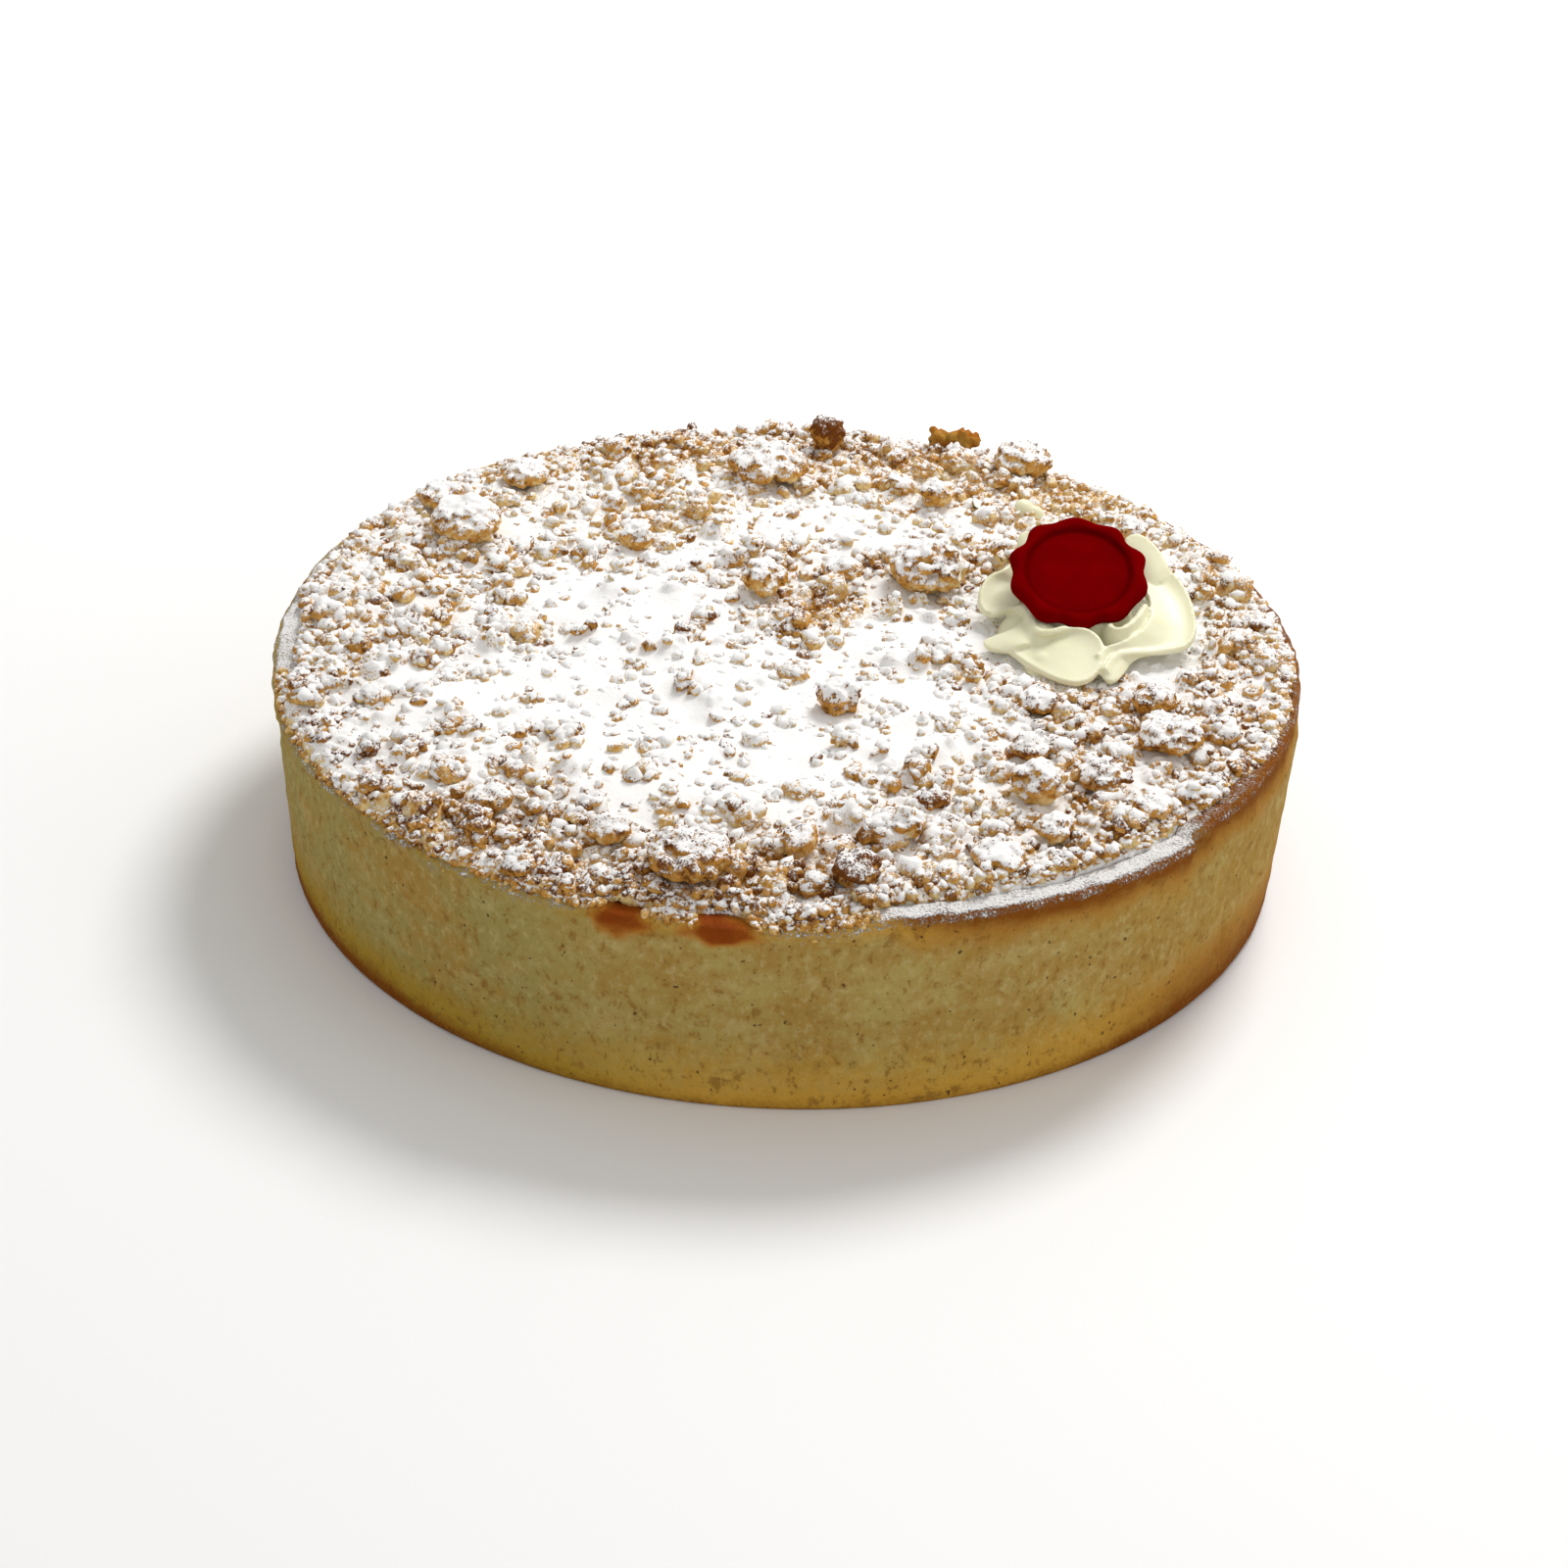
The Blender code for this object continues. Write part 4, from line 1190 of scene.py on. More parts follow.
# name, shapes, spacing, smallest, largest, most crumbs, bias to small, lift, seed, grains on each
crumbKinds = (
    ("fineCrumbs", fineShapes, 0.0029, 0.0011, 0.0028, 3600, 1.4, (-0.15, 0.38), 51, 0),
    ("smallCrumbs", fineShapes, 0.0036, 0.0014, 0.0038, 2600, 1.6, (-0.10, 0.42), 55, 0),
    ("coarseCrumbs", coarseShapes, 0.0066, 0.0030, 0.0064, 1000, 1.5, (-0.12, 0.26), 52, 0),
    ("coarseGrains", fineShapes, 0.0066, 0.0030, 0.0064, 1000, 1.5, (-0.12, 0.26), 52, 6),
    ("lumpCrumbs", coarseShapes, 0.0112, 0.0052, 0.0088, 300, 1.1, (-0.16, 0.10), 58, 0),
    ("lumpGrains", fineShapes, 0.0112, 0.0052, 0.0088, 300, 1.1, (-0.16, 0.10), 58, 14),
)
lipCrumbs = {
    "count": 1500,
    "angles": (-171, -80),
    "smallest": 0.0009,
    "largest": 0.0026,
    "seed": 57,
}
rimCrumbs = {
    "count": 2400,
    "angles": (-116, 194),
    "smallest": 0.0011,
    "largest": 0.0031,
    "inside": 0.0034,
    "seed": 59,
}


def scatterCrumbs(name, shapes, spacing, smallest, largest, most, power, rises, seed, knots):
    rng = np.random.default_rng(seed)
    x, y = scatterPlaces(rng, spacing)
    angle = np.arctan2(y, x)
    share = rng.uniform(0, 1, len(x)) ** power
    size = smallest + (largest - smallest) * share
    inside = np.hypot(x, y) < topRadius(angle) - 0.40 * size + 0.0006 * coveredShare(angle)
    keep = inside & clearOfPieces(x, y, 0.75, 0.021)
    grouped = 0.35 * flatNoise(x, y, 0.0065, seed)
    fewer = 0.30 + 90 * max(largest - 0.0030, 0)
    fewer = fewer * np.clip(readMap(amountMap, x, y), 0, 1) + 0.50 * (largest > 0.0050) * sandyShare(y)
    keep &= rng.uniform(0, 1, len(x)) < 0.86 + grouped - fewer
    x, y, size = x[keep][:most], y[keep][:most], size[keep][:most]
    rise = rng.uniform(*rises, len(x)) * size
    nearCream = np.hypot(x - creamMiddle[0], y - creamMiddle[1]) < 0.029
    rise = np.where(nearCream, -0.40 * size, rise)
    heavy = smoothStep(0.55, 1.0, readMap(amountMap, x, y))
    ground = readMap(topMap, x, y) * 0.5 + readMap(groundMap, x, y) * 0.5
    ground -= edgeDrop(x, y)
    places = np.stack([x, y, ground + rise - 0.10 * size * heavy], axis=1)
    if knots:
        # small grains baked onto each crumb
        whose = np.repeat(np.arange(len(x)), knots)
        outward = rng.normal(size=(len(whose), 3))
        outward[:, 2] = 0.75 * np.abs(outward[:, 2]) + 0.15
        outward /= np.linalg.norm(outward, axis=1, keepdims=True)
        grains = places[whose] + outward * (0.38 * size[whose])[:, None]
        places, size = grains, size[whose] * rng.uniform(0.34, 0.62, len(whose))
    points, faces, owners = copyShapes(shapes, places, size, rng)
    points += (0.15 * size[owners] * softNoise(points, 0.0011, 71))[:, None] * np.array([0.7, 0.7, 1.0])
    crumbs = meshFromArrays(name, points, faces)
    colourCrumbs(crumbs, places, size, owners, rng)


for kind in crumbKinds:
    scatterCrumbs(*kind)


def makeLipCrumbs():
    # grains that hang over the edge where the crumble spills over the rim
    rng = np.random.default_rng(lipCrumbs["seed"])
    count = lipCrumbs["count"]
    angle = np.radians(rng.uniform(*lipCrumbs["angles"], count))
    clear = np.ones(count, bool)
    for patchAngle, _, wide, _ in caseShape["caramel"]:
        away = np.abs(angle - math.radians(patchAngle)) * rimShape["radius"]
        clear &= away > wide * millimetre * rng.uniform(0.5, 1.0, count)
    angle = angle[clear]
    outward = rng.uniform(0, 1, len(angle))
    radius = 0.1170 + 0.0026 * outward
    below = 0.0040 * rng.uniform(0, 1, len(angle)) ** 1.6 * smoothStep(0.45, 1.0, outward)
    radius -= 0.0005 * smoothStep(0.0008, 0.0030, below)
    height = rimTop(angle) + 0.0004 - below
    places = np.stack([radius * np.cos(angle), radius * np.sin(angle), height], axis=1)
    sizes = rng.uniform(lipCrumbs["smallest"], lipCrumbs["largest"], len(angle)) * (1 - 0.3 * outward)
    points, faces, owners = copyShapes(fineShapes, places, sizes, rng)
    crumbs = meshFromArrays("lipCrumbs", points, faces)
    toast = 0.25 + 0.65 * rng.uniform(0, 1, len(angle))
    dust = rng.uniform(-0.30, 0.38, len(angle))
    writeLooks(crumbs, toast=toast[owners], crevice=0, dust=dust[owners], snow=0)
    finishPiece(crumbs, crumbMaterial, "crumble")


def makeRimCrumbs():
    # grains that fill the gap between the crumble and the bare part of the rim
    rng = np.random.default_rng(rimCrumbs["seed"])
    count = rimCrumbs["count"]
    angle = np.radians(rng.uniform(*rimCrumbs["angles"], count))
    share = rng.uniform(0, 1, count) ** 1.4
    sizes = rimCrumbs["smallest"] + (rimCrumbs["largest"] - rimCrumbs["smallest"]) * share
    radius = topRadius(angle) - 0.30 * sizes - rimCrumbs["inside"] * rng.uniform(0, 1, count)
    x, y = radius * np.cos(angle), radius * np.sin(angle)
    ground = readMap(topMap, x, y) - edgeDrop(x, y)
    ground = np.where(radius > innerRadius - 0.0006, np.maximum(ground, rimTop(angle)), ground)
    places = np.stack([x, y, ground + rng.uniform(-0.15, 0.30, count) * sizes], axis=1)
    points, faces, owners = copyShapes(fineShapes, places, sizes, rng)
    colourCrumbs(meshFromArrays("rimCrumbs", points, faces), places, sizes, owners, rng)


makeLipCrumbs()
makeRimCrumbs()
print("crumbs scattered")


# The largest clumps: knobbly heaps of pebbles baked into one

clumpShape = {
    "pebbleSize": 0.0024,
    "crowding": 1.25,
    "voxel": 0.00045,
    "seed": 81,
    # how much more toasted and how much less sugared some of them are
    "darker": {
        "06": (0.45, 0.35),
        "11": (0.25, -0.10),
        "13": (0.20, 0.0),
        "14": (0.12, 0.0),
        "15": (0.25, 0.0),
        "17": (0.15, 0.0),
        "19": (0.50, 0.18),
        "24": (0.22, 0.05),
        "26": (0.15, 0.05),
    },
}


def makeClump(name, nodeName, low, high, rng):
    middle, half = np.array((low + high) / 2), np.array((high - low) / 2)
    middle[2] -= 0.0004
    pebble = clumpShape["pebbleSize"] * (0.8 + 0.25 * half[:2].mean() / 0.006)
    area = 4 * math.pi * ((half[0] * half[1]) ** 1.6 / 3 + 2 * (half[0] * half[2]) ** 1.6 / 3) ** (1 / 1.6)
    count = int(clumpShape["crowding"] * area / pebble**2)
    direction = rng.normal(size=(count, 3))
    direction /= np.linalg.norm(direction, axis=1, keepdims=True)
    sizes = pebble * rng.uniform(0.65, 1.35, count)
    reach = half[None] - 0.5 * sizes[:, None] * rng.uniform(0.75, 1.15, (count, 1))
    places = middle + direction * reach
    points, faces, _ = copyShapes(coarseShapes, places, sizes, rng)
    corePoints, coreFaces, _ = copyShapes(coarseShapes, middle[None], np.array([1.0]), rng, 1.0)
    corePoints -= middle
    corePoints = middle + corePoints / np.abs(corePoints).max(axis=0) * (half - 0.20 * pebble)
    points = np.concatenate([points, corePoints])
    faces = np.concatenate([faces, coreFaces + len(points) - len(corePoints)])
    clump = meshFromArrays(name, points, faces)
    fuse(clump, clumpShape["voxel"], 2)
    points = readPoints(clump)
    rough = 0.00018 * softNoise(points, 0.0011, 82) + 0.00034 * softNoise(points, 0.0030, 83)
    points += rough[:, None] * readPoints(clump, "normal")
    points[:, 2] = np.clip(points[:, 2], 0.0480, None)
    writePoints(clump, points)
    pebbles = kdtree.KDTree(count)
    for number, place in enumerate(places):
        pebbles.insert(place, number)
    pebbles.balance()
    nearest = np.array([pebbles.find(point)[1] for point in points])
    pebbleToast = rng.uniform(0.0, 1.0, count)
    share = (points[:, 2] - low[2]) / (high[2] - low[2])
    browner, barer = clumpShape["darker"].get(nodeName[-2:], (0, 0))
    toast = -0.06 + 0.50 * pebbleToast[nearest] + 0.78 * share + browner
    toast += 0.5 * regionToast(points[:, 0], points[:, 1])
    amount = readMap(amountMap, points[:, 0], points[:, 1])
    buried = readMap(snowMap, points[:, 0], points[:, 1]) - points[:, 2]
    writeLooks(
        clump,
        toast=toast,
        crevice=np.clip(creviceDepth(clump, 5) / 0.00028, 0, 1),
        dust=dustOf(0.38 + 0.45 * amount, 0.48) - barer,
        snow=smoothStep(-0.0003, 0.0005, buried),
    )
    finishPiece(clump, crumbMaterial, "clump", nodeName)


def makeClumps():
    rng = np.random.default_rng(clumpShape["seed"])
    for nodeName, (low, high) in zip(clumpNames, clumpBoxes):
        makeClump(nodeName.replace("clump_", "bakedClump"), nodeName, low, high, rng)


makeClumps()
print("clumps done")


# The flake of pastry at the back

flakeShape = {
    "grains": 60,
    "smallest": 0.0016,
    "largest": 0.0031,
    "voxel": 0.00035,
    "seed": 93,
}


def makeFlake():
    # a torn strip of golden grains with gaps between them, fused and stretched to its box
    low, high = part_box("flake")
    middle, half = np.array((low + high) / 2), np.array((high - low) / 2)
    rng = np.random.default_rng(flakeShape["seed"])
    count = flakeShape["grains"]
    along, up = rng.uniform(-1, 1, count), rng.uniform(-1, 1, count)
    across = rng.uniform(-0.5, 0.5, count)
    up = up * (0.75 + 0.25 * np.sin(5 * along + 0.8)) - 0.10 * np.abs(along)
    places = middle + np.stack([along, across + 0.5 * along**2, up], axis=1) * (half - 0.0010)
    sizes = rng.uniform(flakeShape["smallest"], flakeShape["largest"], count)
    points, faces, _ = copyShapes(coarseShapes, places, sizes, rng)
    flake = meshFromArrays("pastryFlake", points, faces)
    fuse(flake, flakeShape["voxel"], 2)
    points = readPoints(flake)
    points = (points - points.min(axis=0)) / np.ptp(points, axis=0) * (2 * half) + np.array(low)
    writePoints(flake, points)
    toast = 0.72 + 0.36 * softNoise(points, 0.003, 93)
    caramel = 0.70 * smoothStep(-0.3, 0.6, softNoise(points, 0.0035, 94))
    writeLooks(flake, toast=toast, warmth=1, russet=0.80, caramel=caramel, dust=-0.6, snow=0)
    finishPiece(flake, pastryMaterial, "pastry", "flake")


makeFlake()


# Cream ruffle

creamShape = {
    "thickness": 0.0015,
    # middle, radius and height of the heaps under the folds, and of a stray dab at the back
    "mounds": (
        (0.0690, 0.0120, 0.0125, 0.0165),
        (0.0640, 0.0010, 0.0080, 0.0048),
        (0.0560, 0.0020, 0.0050, 0.0040),
        (0.0552, 0.0085, 0.0062, 0.0058),
        (0.0592, 0.0006, 0.0060, 0.0076),
        (0.0780, 0.0030, 0.0070, 0.0045),
        (0.0600, -0.0062, 0.0052, 0.0046),
        (0.0655, -0.0080, 0.0070, 0.0038),
        (0.0572, 0.0724, 0.0032, 0.0042),
        (0.0602, 0.0716, 0.0024, 0.0032),
    ),
    "voxel": 0.00040,
    "rows": 16,
    "columns": 64,
    # each fold of the piped ribbon: its free edge, its root, how far it bulges, how far its lip turns up
    "petals": {
        "leftLobe": (
            ((55.7, 31.9, 62.5), (52.7, 24.9, 62.3), (49.6, 19.7, 62.0), (47.3, 19.8, 61.3),
             (45.4, 17.3, 60.2), (44.3, 13.9, 58.8), (44.3, 11.0, 57.2), (45.5, 8.9, 56.0),
             (47.1, 8.8, 55.6), (48.9, 9.7, 56.5), (51.2, 10.5, 57.2), (53.2, 10.2, 57.7),
             (54.8, 8.1, 57.6)),
            ((59.2, 22.4, 61.0), (56.3, 16.5, 60.0), (54.4, 13.3, 58.5), (54.5, 12.2, 57.0)),
            -0.9,
            0.6,
        ),
        "leftFold": (
            ((53.2, 10.2, 57.7), (54.8, 8.1, 57.6), (55.4, 5.8, 57.0), (54.5, 3.7, 56.0),
             (52.5, 3.3, 55.1), (50.2, 2.0, 54.4), (47.5, 1.0, 53.8), (45.4, 0.3, 53.3),
             (45.4, -1.4, 52.9), (47.9, -3.4, 52.8), (51.2, -4.4, 53.0)),
            ((57.3, 9.5, 58.0), (57.9, 5.6, 57.5), (57.9, 2.0, 56.8), (57.3, -1.4, 56.0),
             (56.4, -3.4, 55.0)),
            0.9,
            0.5,
        ),
        "frontLobe": (
            ((51.7, -4.3, 53.2), (54.1, -7.7, 52.8), (57.2, -11.3, 52.6), (60.5, -14.7, 52.5),
             (63.8, -17.2, 52.5), (66.9, -18.3, 52.7), (69.8, -17.1, 53.2), (71.9, -14.1, 54.2),
             (73.4, -9.9, 55.6), (73.2, -6.3, 57.0), (71.9, -3.6, 58.3), (69.2, -1.7, 59.0),
             (66.3, -1.3, 59.2), (63.0, -2.3, 58.8), (59.8, -3.9, 58.0), (57.6, -2.8, 57.8),
             (56.4, 1.3, 57.9), (56.7, 5.1, 58.2)),
            ((55.6, -2.6, 54.0), (58.2, -4.3, 55.0), (60.9, -4.0, 56.0), (61.8, -2.9, 56.5),
             (60.5, -0.1, 57.0), (59.7, 3.8, 57.5)),
            0.1,
            0.7,
        ),
        "smallHook": (
            ((56.4, 7.3, 58.8), (55.9, 4.6, 58.5), (56.2, 1.8, 57.9), (57.0, -1.1, 57.4),
             (58.8, -2.6, 57.2)),
            ((59.0, 7.6, 55.0), (58.8, 4.6, 54.6), (59.0, 2.2, 54.2), (59.8, 0.2, 54.0),
             (61.2, -1.4, 54.0)),
            0.3,
            0.5,
        ),
        "frontTip": (
            ((72.5, -12.8, 53.0), (73.3, -15.3, 52.6), (74.7, -15.9, 52.5), (76.4, -13.9, 52.5),
             (77.9, -10.6, 52.8), (79.1, -7.8, 53.4), (81.2, -5.9, 54.0), (84.7, -4.2, 54.0)),
            ((72.1, -8.9, 55.5), (75.1, -6.8, 55.5), (78.7, -4.8, 55.6), (83.3, -3.2, 56.0)),
            0.6,
            0.2,
        ),
        "rightLobe": (
            ((73.5, -14.1, 54.3), (74.5, -11.0, 55.2), (75.9, -8.7, 55.8), (78.5, -7.4, 56.0),
             (81.7, -6.8, 55.8), (86.2, -5.6, 55.3), (89.7, -4.3, 55.0), (92.3, -3.1, 55.0),
             (94.2, -1.0, 55.5), (95.3, 2.9, 56.8), (95.0, 8.3, 58.6), (94.1, 13.1, 60.2),
             (92.4, 17.3, 61.6), (90.4, 20.2, 62.6), (88.4, 21.7, 63.3)),
            ((71.0, -9.8, 57.0), (73.5, -6.6, 57.6), (77.5, -5.0, 58.2), (81.8, -1.0, 59.0),
             (84.2, 4.0, 60.2), (84.2, 10.0, 61.2), (82.5, 15.5, 62.2)),
            -0.8,
            0.8,
        ),
        "innerCurl": (
            ((83.0, 6.9, 61.2), (81.2, 2.0, 60.8), (78.7, -1.9, 60.2), (76.4, -3.3, 59.7),
             (74.9, -1.3, 59.3), (74.2, 2.6, 59.3), (74.8, 6.2, 59.6), (76.5, 8.7, 60.0)),
            ((84.8, 6.4, 58.0), (82.6, 0.6, 57.0), (79.4, -3.6, 56.0), (76.0, -5.2, 55.0),
             (73.4, -2.4, 55.0), (72.6, 3.0, 55.5), (73.4, 7.4, 56.0), (75.6, 10.0, 57.0)),
            0.0,
            0.9,
        ),
        "backRight": (
            ((90.4, 20.0, 62.2), (89.0, 21.4, 64.0), (88.1, 23.7, 65.4), (86.7, 25.9, 66.6),
             (84.9, 28.2, 67.4), (83.1, 29.9, 67.8), (81.0, 30.2, 67.8), (79.2, 29.2, 67.2)),
            ((84.0, 14.7, 60.5), (81.7, 16.6, 61.0), (79.5, 19.5, 61.5), (77.3, 21.9, 62.0)),
            0.8,
            0.4,
        ),
        "backLeft": (
            ((54.2, 28.7, 62.5), (53.7, 30.5, 64.2), (54.1, 32.4, 65.6), (56.0, 33.3, 66.0),
             (58.3, 32.6, 66.2), (60.6, 31.1, 66.0)),
            ((59.2, 20.8, 60.5), (59.8, 25.0, 61.0), (61.3, 28.2, 61.5)),
            0.6,
            0.4,
        ),
        # the far side, which the picture doesn't show
        "farLobe": (
            ((79.0, 30.0, 66.0), (77.0, 34.5, 62.0), (72.5, 37.0, 58.5), (67.5, 37.5, 57.5),
             (62.5, 36.0, 59.5), (59.5, 33.0, 63.5)),
            ((78.0, 21.0, 61.5), (73.0, 22.5, 61.5), (66.0, 22.5, 61.5), (60.5, 21.0, 61.0)),
            0.9,
            0.3,
        ),
        "farRightLobe": (
            ((91.0, 19.0, 60.5), (93.5, 24.0, 56.5), (91.0, 29.0, 55.0), (86.5, 31.5, 56.5),
             (82.5, 31.0, 62.0)),
            ((83.5, 13.0, 60.0), (84.5, 17.0, 59.0), (82.5, 20.5, 59.5), (79.5, 22.0, 61.0)),
            0.9,
            0.3,
        ),
        "farLeftLobe": (
            ((58.0, 34.0, 60.5), (53.5, 34.5, 56.0), (48.5, 31.5, 54.5), (46.0, 26.5, 55.5),
             (48.5, 21.5, 59.5)),
            ((61.0, 24.0, 60.5), (59.0, 22.5, 59.5), (57.0, 19.5, 59.0), (56.0, 16.5, 59.5)),
            0.9,
            0.3,
        ),
    },
}
sealShape = {
    "centre": Vector((0.0674, 0.0142, 0.0648)),
    "tilt": 24,
    "radius": 0.0161,
    "thickness": 0.0026,
    "scallops": 10,
    "scallopDepth": 0.040,
    "scallopTurn": 92,
    "steps": 240,
    # share of the radius, share of the thickness, and how much of the wavy outline
    "profile": (
        (0.985, 0.10, 1.0),
        (1.0, 0.25, 1.0),
        (1.0, 0.42, 1.0),
        (0.985, 0.62, 1.0),
        (0.955, 0.80, 0.95),
        (0.915, 0.94, 0.85),
        (0.87, 1.0, 0.70),
        (0.83, 0.98, 0.55),
        (0.80, 0.92, 0.42),
        (0.775, 0.83, 0.28),
        (0.75, 0.74, 0.16),
        (0.725, 0.69, 0.08),
        (0.69, 0.68, 0.0),
        (0.50, 0.71, 0.0),
        (0.25, 0.73, 0.0),
    ),
}


def sealUnderside(y):
    tilt = math.tan(math.radians(sealShape["tilt"]))
    return sealShape["centre"].z + (y - sealShape["centre"].y) * tilt


def smoothCurve(corners, count):
    # a soft curve of evenly spaced points near these corners
    corners = np.array(corners, float)
    lengths = np.concatenate([[0], np.cumsum(np.linalg.norm(np.diff(corners, axis=0), axis=1))])
    even = np.linspace(0, lengths[-1], count)
    curve = np.stack([np.interp(even, lengths, column) for column in corners.T], axis=1)
    for _ in range(count // 12):
        curve[1:-1] = (curve[:-2] + 2 * curve[1:-1] + curve[2:]) / 4
    return curve


def makePetal(name, edge, root, bulge, lip):
    rows, columns = creamShape["rows"], creamShape["columns"]
    deselectAll()
    bpy.ops.mesh.primitive_grid_add(x_subdivisions=columns, y_subdivisions=rows, size=2, location=(0, 0, 0))
    petal = nameNew(name)
    points = readPoints(petal)
    across = np.rint((points[:, 0] + 1) / 2 * columns).astype(int)
    out = ((points[:, 1] + 1) / 2)[:, None]
    edge, root = smoothCurve(edge, columns + 1), smoothCurve(root, columns + 1)
    placed = root[across] * (1 - out) + edge[across] * out
    placed[:, 2] += (bulge * np.sin(math.pi * out) + lip * out**6)[:, 0]
    writePoints(petal, placed * millimetre)
    thicken = petal.modifiers.new("Thickness", "SOLIDIFY")
    thicken.thickness = creamShape["thickness"]
    thicken.offset = 0
    applyModifiers(petal)
    return petal


def makeCream():
    petals = [makePetal(name, *shape) for name, shape in creamShape["petals"].items()]
    softGround = blurMap(groundMap, 0.002)
    for x, y, radius, height in creamShape["mounds"]:
        deselectAll()
        bpy.ops.mesh.primitive_uv_sphere_add(segments=48, ring_count=24, radius=1, location=(0, 0, 0))
        cream = nameNew("creamRuffle")
        base = float(readMap(softGround, x, y))
        writePoints(cream, readPoints(cream) * (radius, radius, height) + (x, y, base))
        petals.append(cream)
    deselectAll()
    for petal in petals:
        petal.select_set(True)
    bpy.context.view_layer.objects.active = cream
    bpy.ops.object.join()
    fuse(cream, creamShape["voxel"], 3)
    points = readPoints(cream)
    x, y, z = points.T
    z = np.maximum(z, readMap(softGround, x, y) + 0.0001)
    # the cream stays under the seal and is free to rise beside it
    centre, shortened = sealShape["centre"], math.cos(math.radians(sealShape["tilt"]))
    away = np.hypot(x - centre.x, (y - centre.y) / shortened) - 1.03 * sealShape["radius"]
    z = np.minimum(z, sealUnderside(y) - 0.0003 + np.maximum(0, 3 * away))
    writePoints(cream, np.stack([x, y, z], axis=1))
    finishPiece(cream, creamMaterial, "cream", "cream_ruffle")


makeCream()
print("cream done")


# Red seal

def makeSeal():
    steps, radius, thickness = sealShape["steps"], sealShape["radius"], sealShape["thickness"]
    deselectAll()
    share, level, waviness = 0.96, 0.0, [1.0] * steps
    bpy.ops.mesh.primitive_circle_add(vertices=steps, radius=radius * share, fill_type="NGON")
    seal = nameNew("redSeal")
    bpy.ops.object.mode_set(mode="EDIT")
    bpy.ops.mesh.select_all(action="SELECT")
    for nextShare, nextLevel, wavy in sealShape["profile"]:
        move = (0, 0, (nextLevel - level) * thickness)
        bpy.ops.mesh.extrude_region_move(TRANSFORM_OT_translate={"value": move})
        scale = nextShare / share
        bpy.ops.transform.resize(value=(scale, scale, 1))
        share, level = nextShare, nextLevel
        waviness += [wavy] * steps
    bpy.ops.mesh.select_all(action="SELECT")
    bpy.ops.mesh.normals_make_consistent(inside=False)
    bpy.ops.object.mode_set(mode="OBJECT")
    points = readPoints(seal)
    waviness = np.array(waviness)
    angle = np.arctan2(points[:, 1], points[:, 0])
    turned = angle - math.radians(sealShape["scallopTurn"])
    wave = np.cos(sealShape["scallops"] * turned) * (1 + 0.35 * np.sin(3 * angle))
    wave += 0.35 * np.cos(3 * angle + 1.0)
    points[:, :2] *= (1 + sealShape["scallopDepth"] * waviness * wave)[:, None]
    swell = 0.00022 * waviness * softNoise(points, 0.007, 95)
    points[:, 2] += swell * (points[:, 2] > 0.0004)
    tilt = Matrix.Rotation(math.radians(sealShape["tilt"]), 4, "X")
    inwards = np.hypot(points[:, 0], points[:, 1]) / radius
    # painted shade: a darker ring on the rim's inner slope
    recess = 0.8 * np.exp(-(((inwards - 0.755) / 0.05) ** 2)) * (points[:, 2] > 0.3 * thickness)
    writeAttribute(seal, "recess", recess)
    writePoints(seal, points)
    seal.data.transform(Matrix.Translation(sealShape["centre"]) @ tilt)
    finishPiece(seal, sealMaterial, "seal", "seal")
    makeActive(seal)
    bpy.ops.object.shade_smooth_by_angle(angle=math.radians(50))


makeSeal()
print("seal done")


# Floor, light and camera

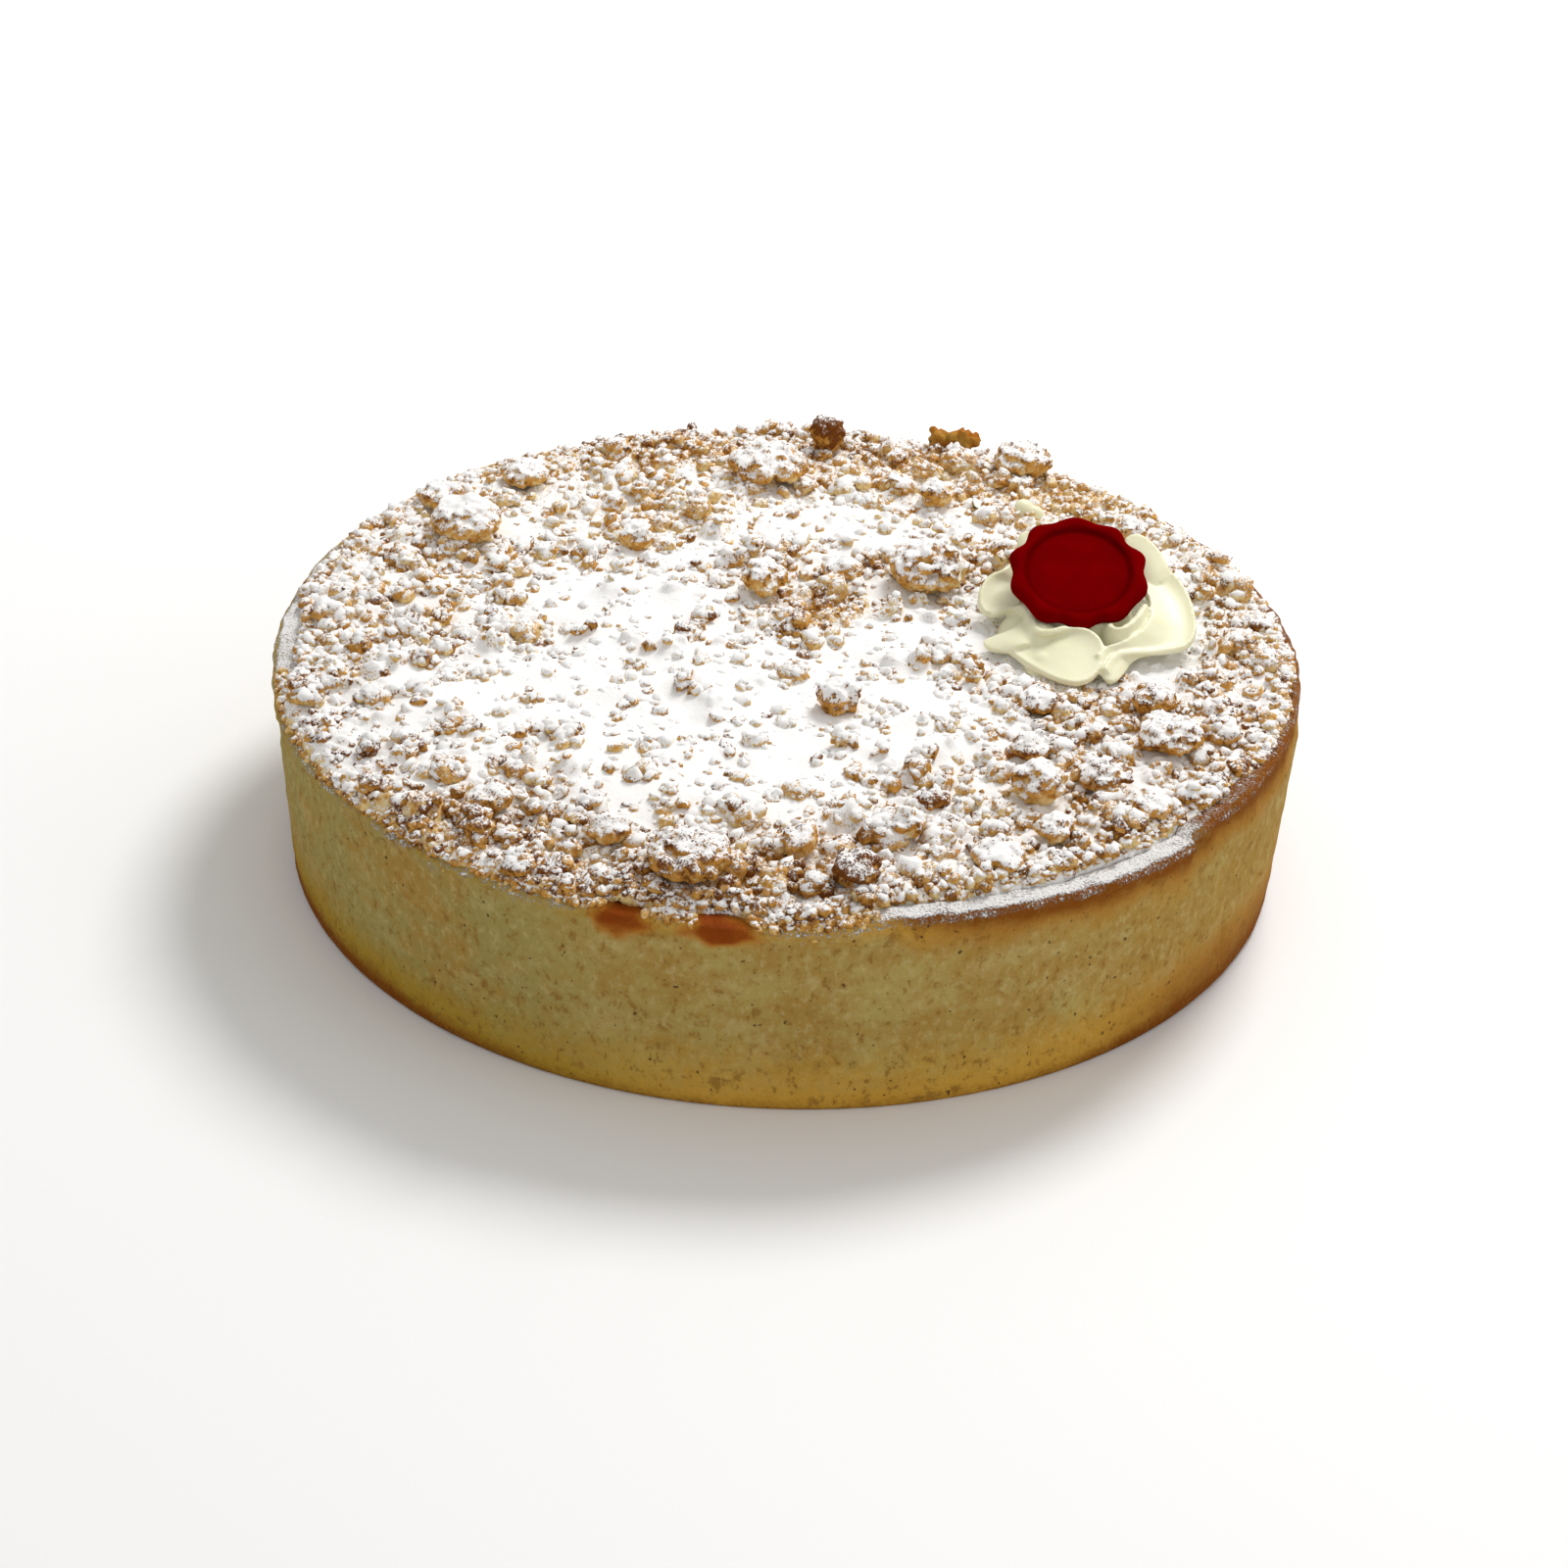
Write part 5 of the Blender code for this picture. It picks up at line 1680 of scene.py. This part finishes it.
studio = {
    "floorSize": 6.0,
    "floorColour": (0.86, 0.86, 0.86, 1),
    "worldColour": (1.0, 0.995, 0.985, 1),
    "worldStrength": 0.62,
    # name, place, size, power and colour of each soft light, all aimed at the cake
    "lights": (
        ("keyLight", (0.45, 0.75, 1.10), 0.50, 15.0, (1.0, 0.99, 0.975)),
        ("fillLight", (-0.70, -0.95, 0.80), 1.10, 0.05, (0.98, 0.99, 1.0)),
        ("sideLight", (1.05, -0.45, 0.60), 0.70, 1.3, (1.0, 0.975, 0.945)),
    ),
    "aim": Vector((0, 0, 0.04)),
    "cameraElevation": 30.33,
    "cameraRoll": 2.07,
    "cameraDistance": 0.9465,
    "cameraTarget": Vector((0.0001, -0.0280, 0.0300)),
    "lens": 94.2,
}


def makeFloor():
    deselectAll()
    bpy.ops.mesh.primitive_plane_add(size=studio["floorSize"], location=(0, 0, 0))
    floor = nameNew("floor")
    material, _, shader = newMaterial("paleFloor", studio["floorColour"][:3])
    shader.inputs["Base Color"].default_value = studio["floorColour"]
    shader.inputs["Roughness"].default_value = 0.7
    floor.data.materials.append(material)


def makeLights():
    world = bpy.data.worlds.new("studio")
    bpy.context.scene.world = world
    world.use_nodes = True
    background = world.node_tree.nodes["Background"]
    background.inputs["Color"].default_value = studio["worldColour"]
    background.inputs["Strength"].default_value = studio["worldStrength"]
    for name, place, size, power, colour in studio["lights"]:
        light = bpy.data.lights.new(name, "AREA")
        light.shape = "DISK"
        light.size = size
        light.energy = power
        light.color = colour
        obj = bpy.data.objects.new(name, light)
        bpy.context.scene.collection.objects.link(obj)
        obj.location = place
        obj.rotation_euler = (studio["aim"] - Vector(place)).to_track_quat("-Z", "Y").to_euler()


def makeCamera():
    camera = bpy.data.cameras.new("camera")
    obj = bpy.data.objects.new("camera", camera)
    bpy.context.scene.collection.objects.link(obj)
    elevation = math.radians(studio["cameraElevation"])
    back = Vector((0, -math.cos(elevation), math.sin(elevation)))
    place = studio["cameraTarget"] + back * studio["cameraDistance"]
    aim = (-back).to_track_quat("-Z", "Y").to_matrix().to_4x4()
    roll = Matrix.Rotation(math.radians(studio["cameraRoll"]), 4, "Z")
    obj.matrix_world = Matrix.Translation(place) @ aim @ roll
    camera.sensor_width = 36
    camera.lens = studio["lens"]
    camera.clip_start = 0.01
    bpy.context.scene.camera = obj


makeFloor()
makeLights()
makeCamera()
bpy.context.scene.view_settings.view_transform = "Standard"
print("studio done")
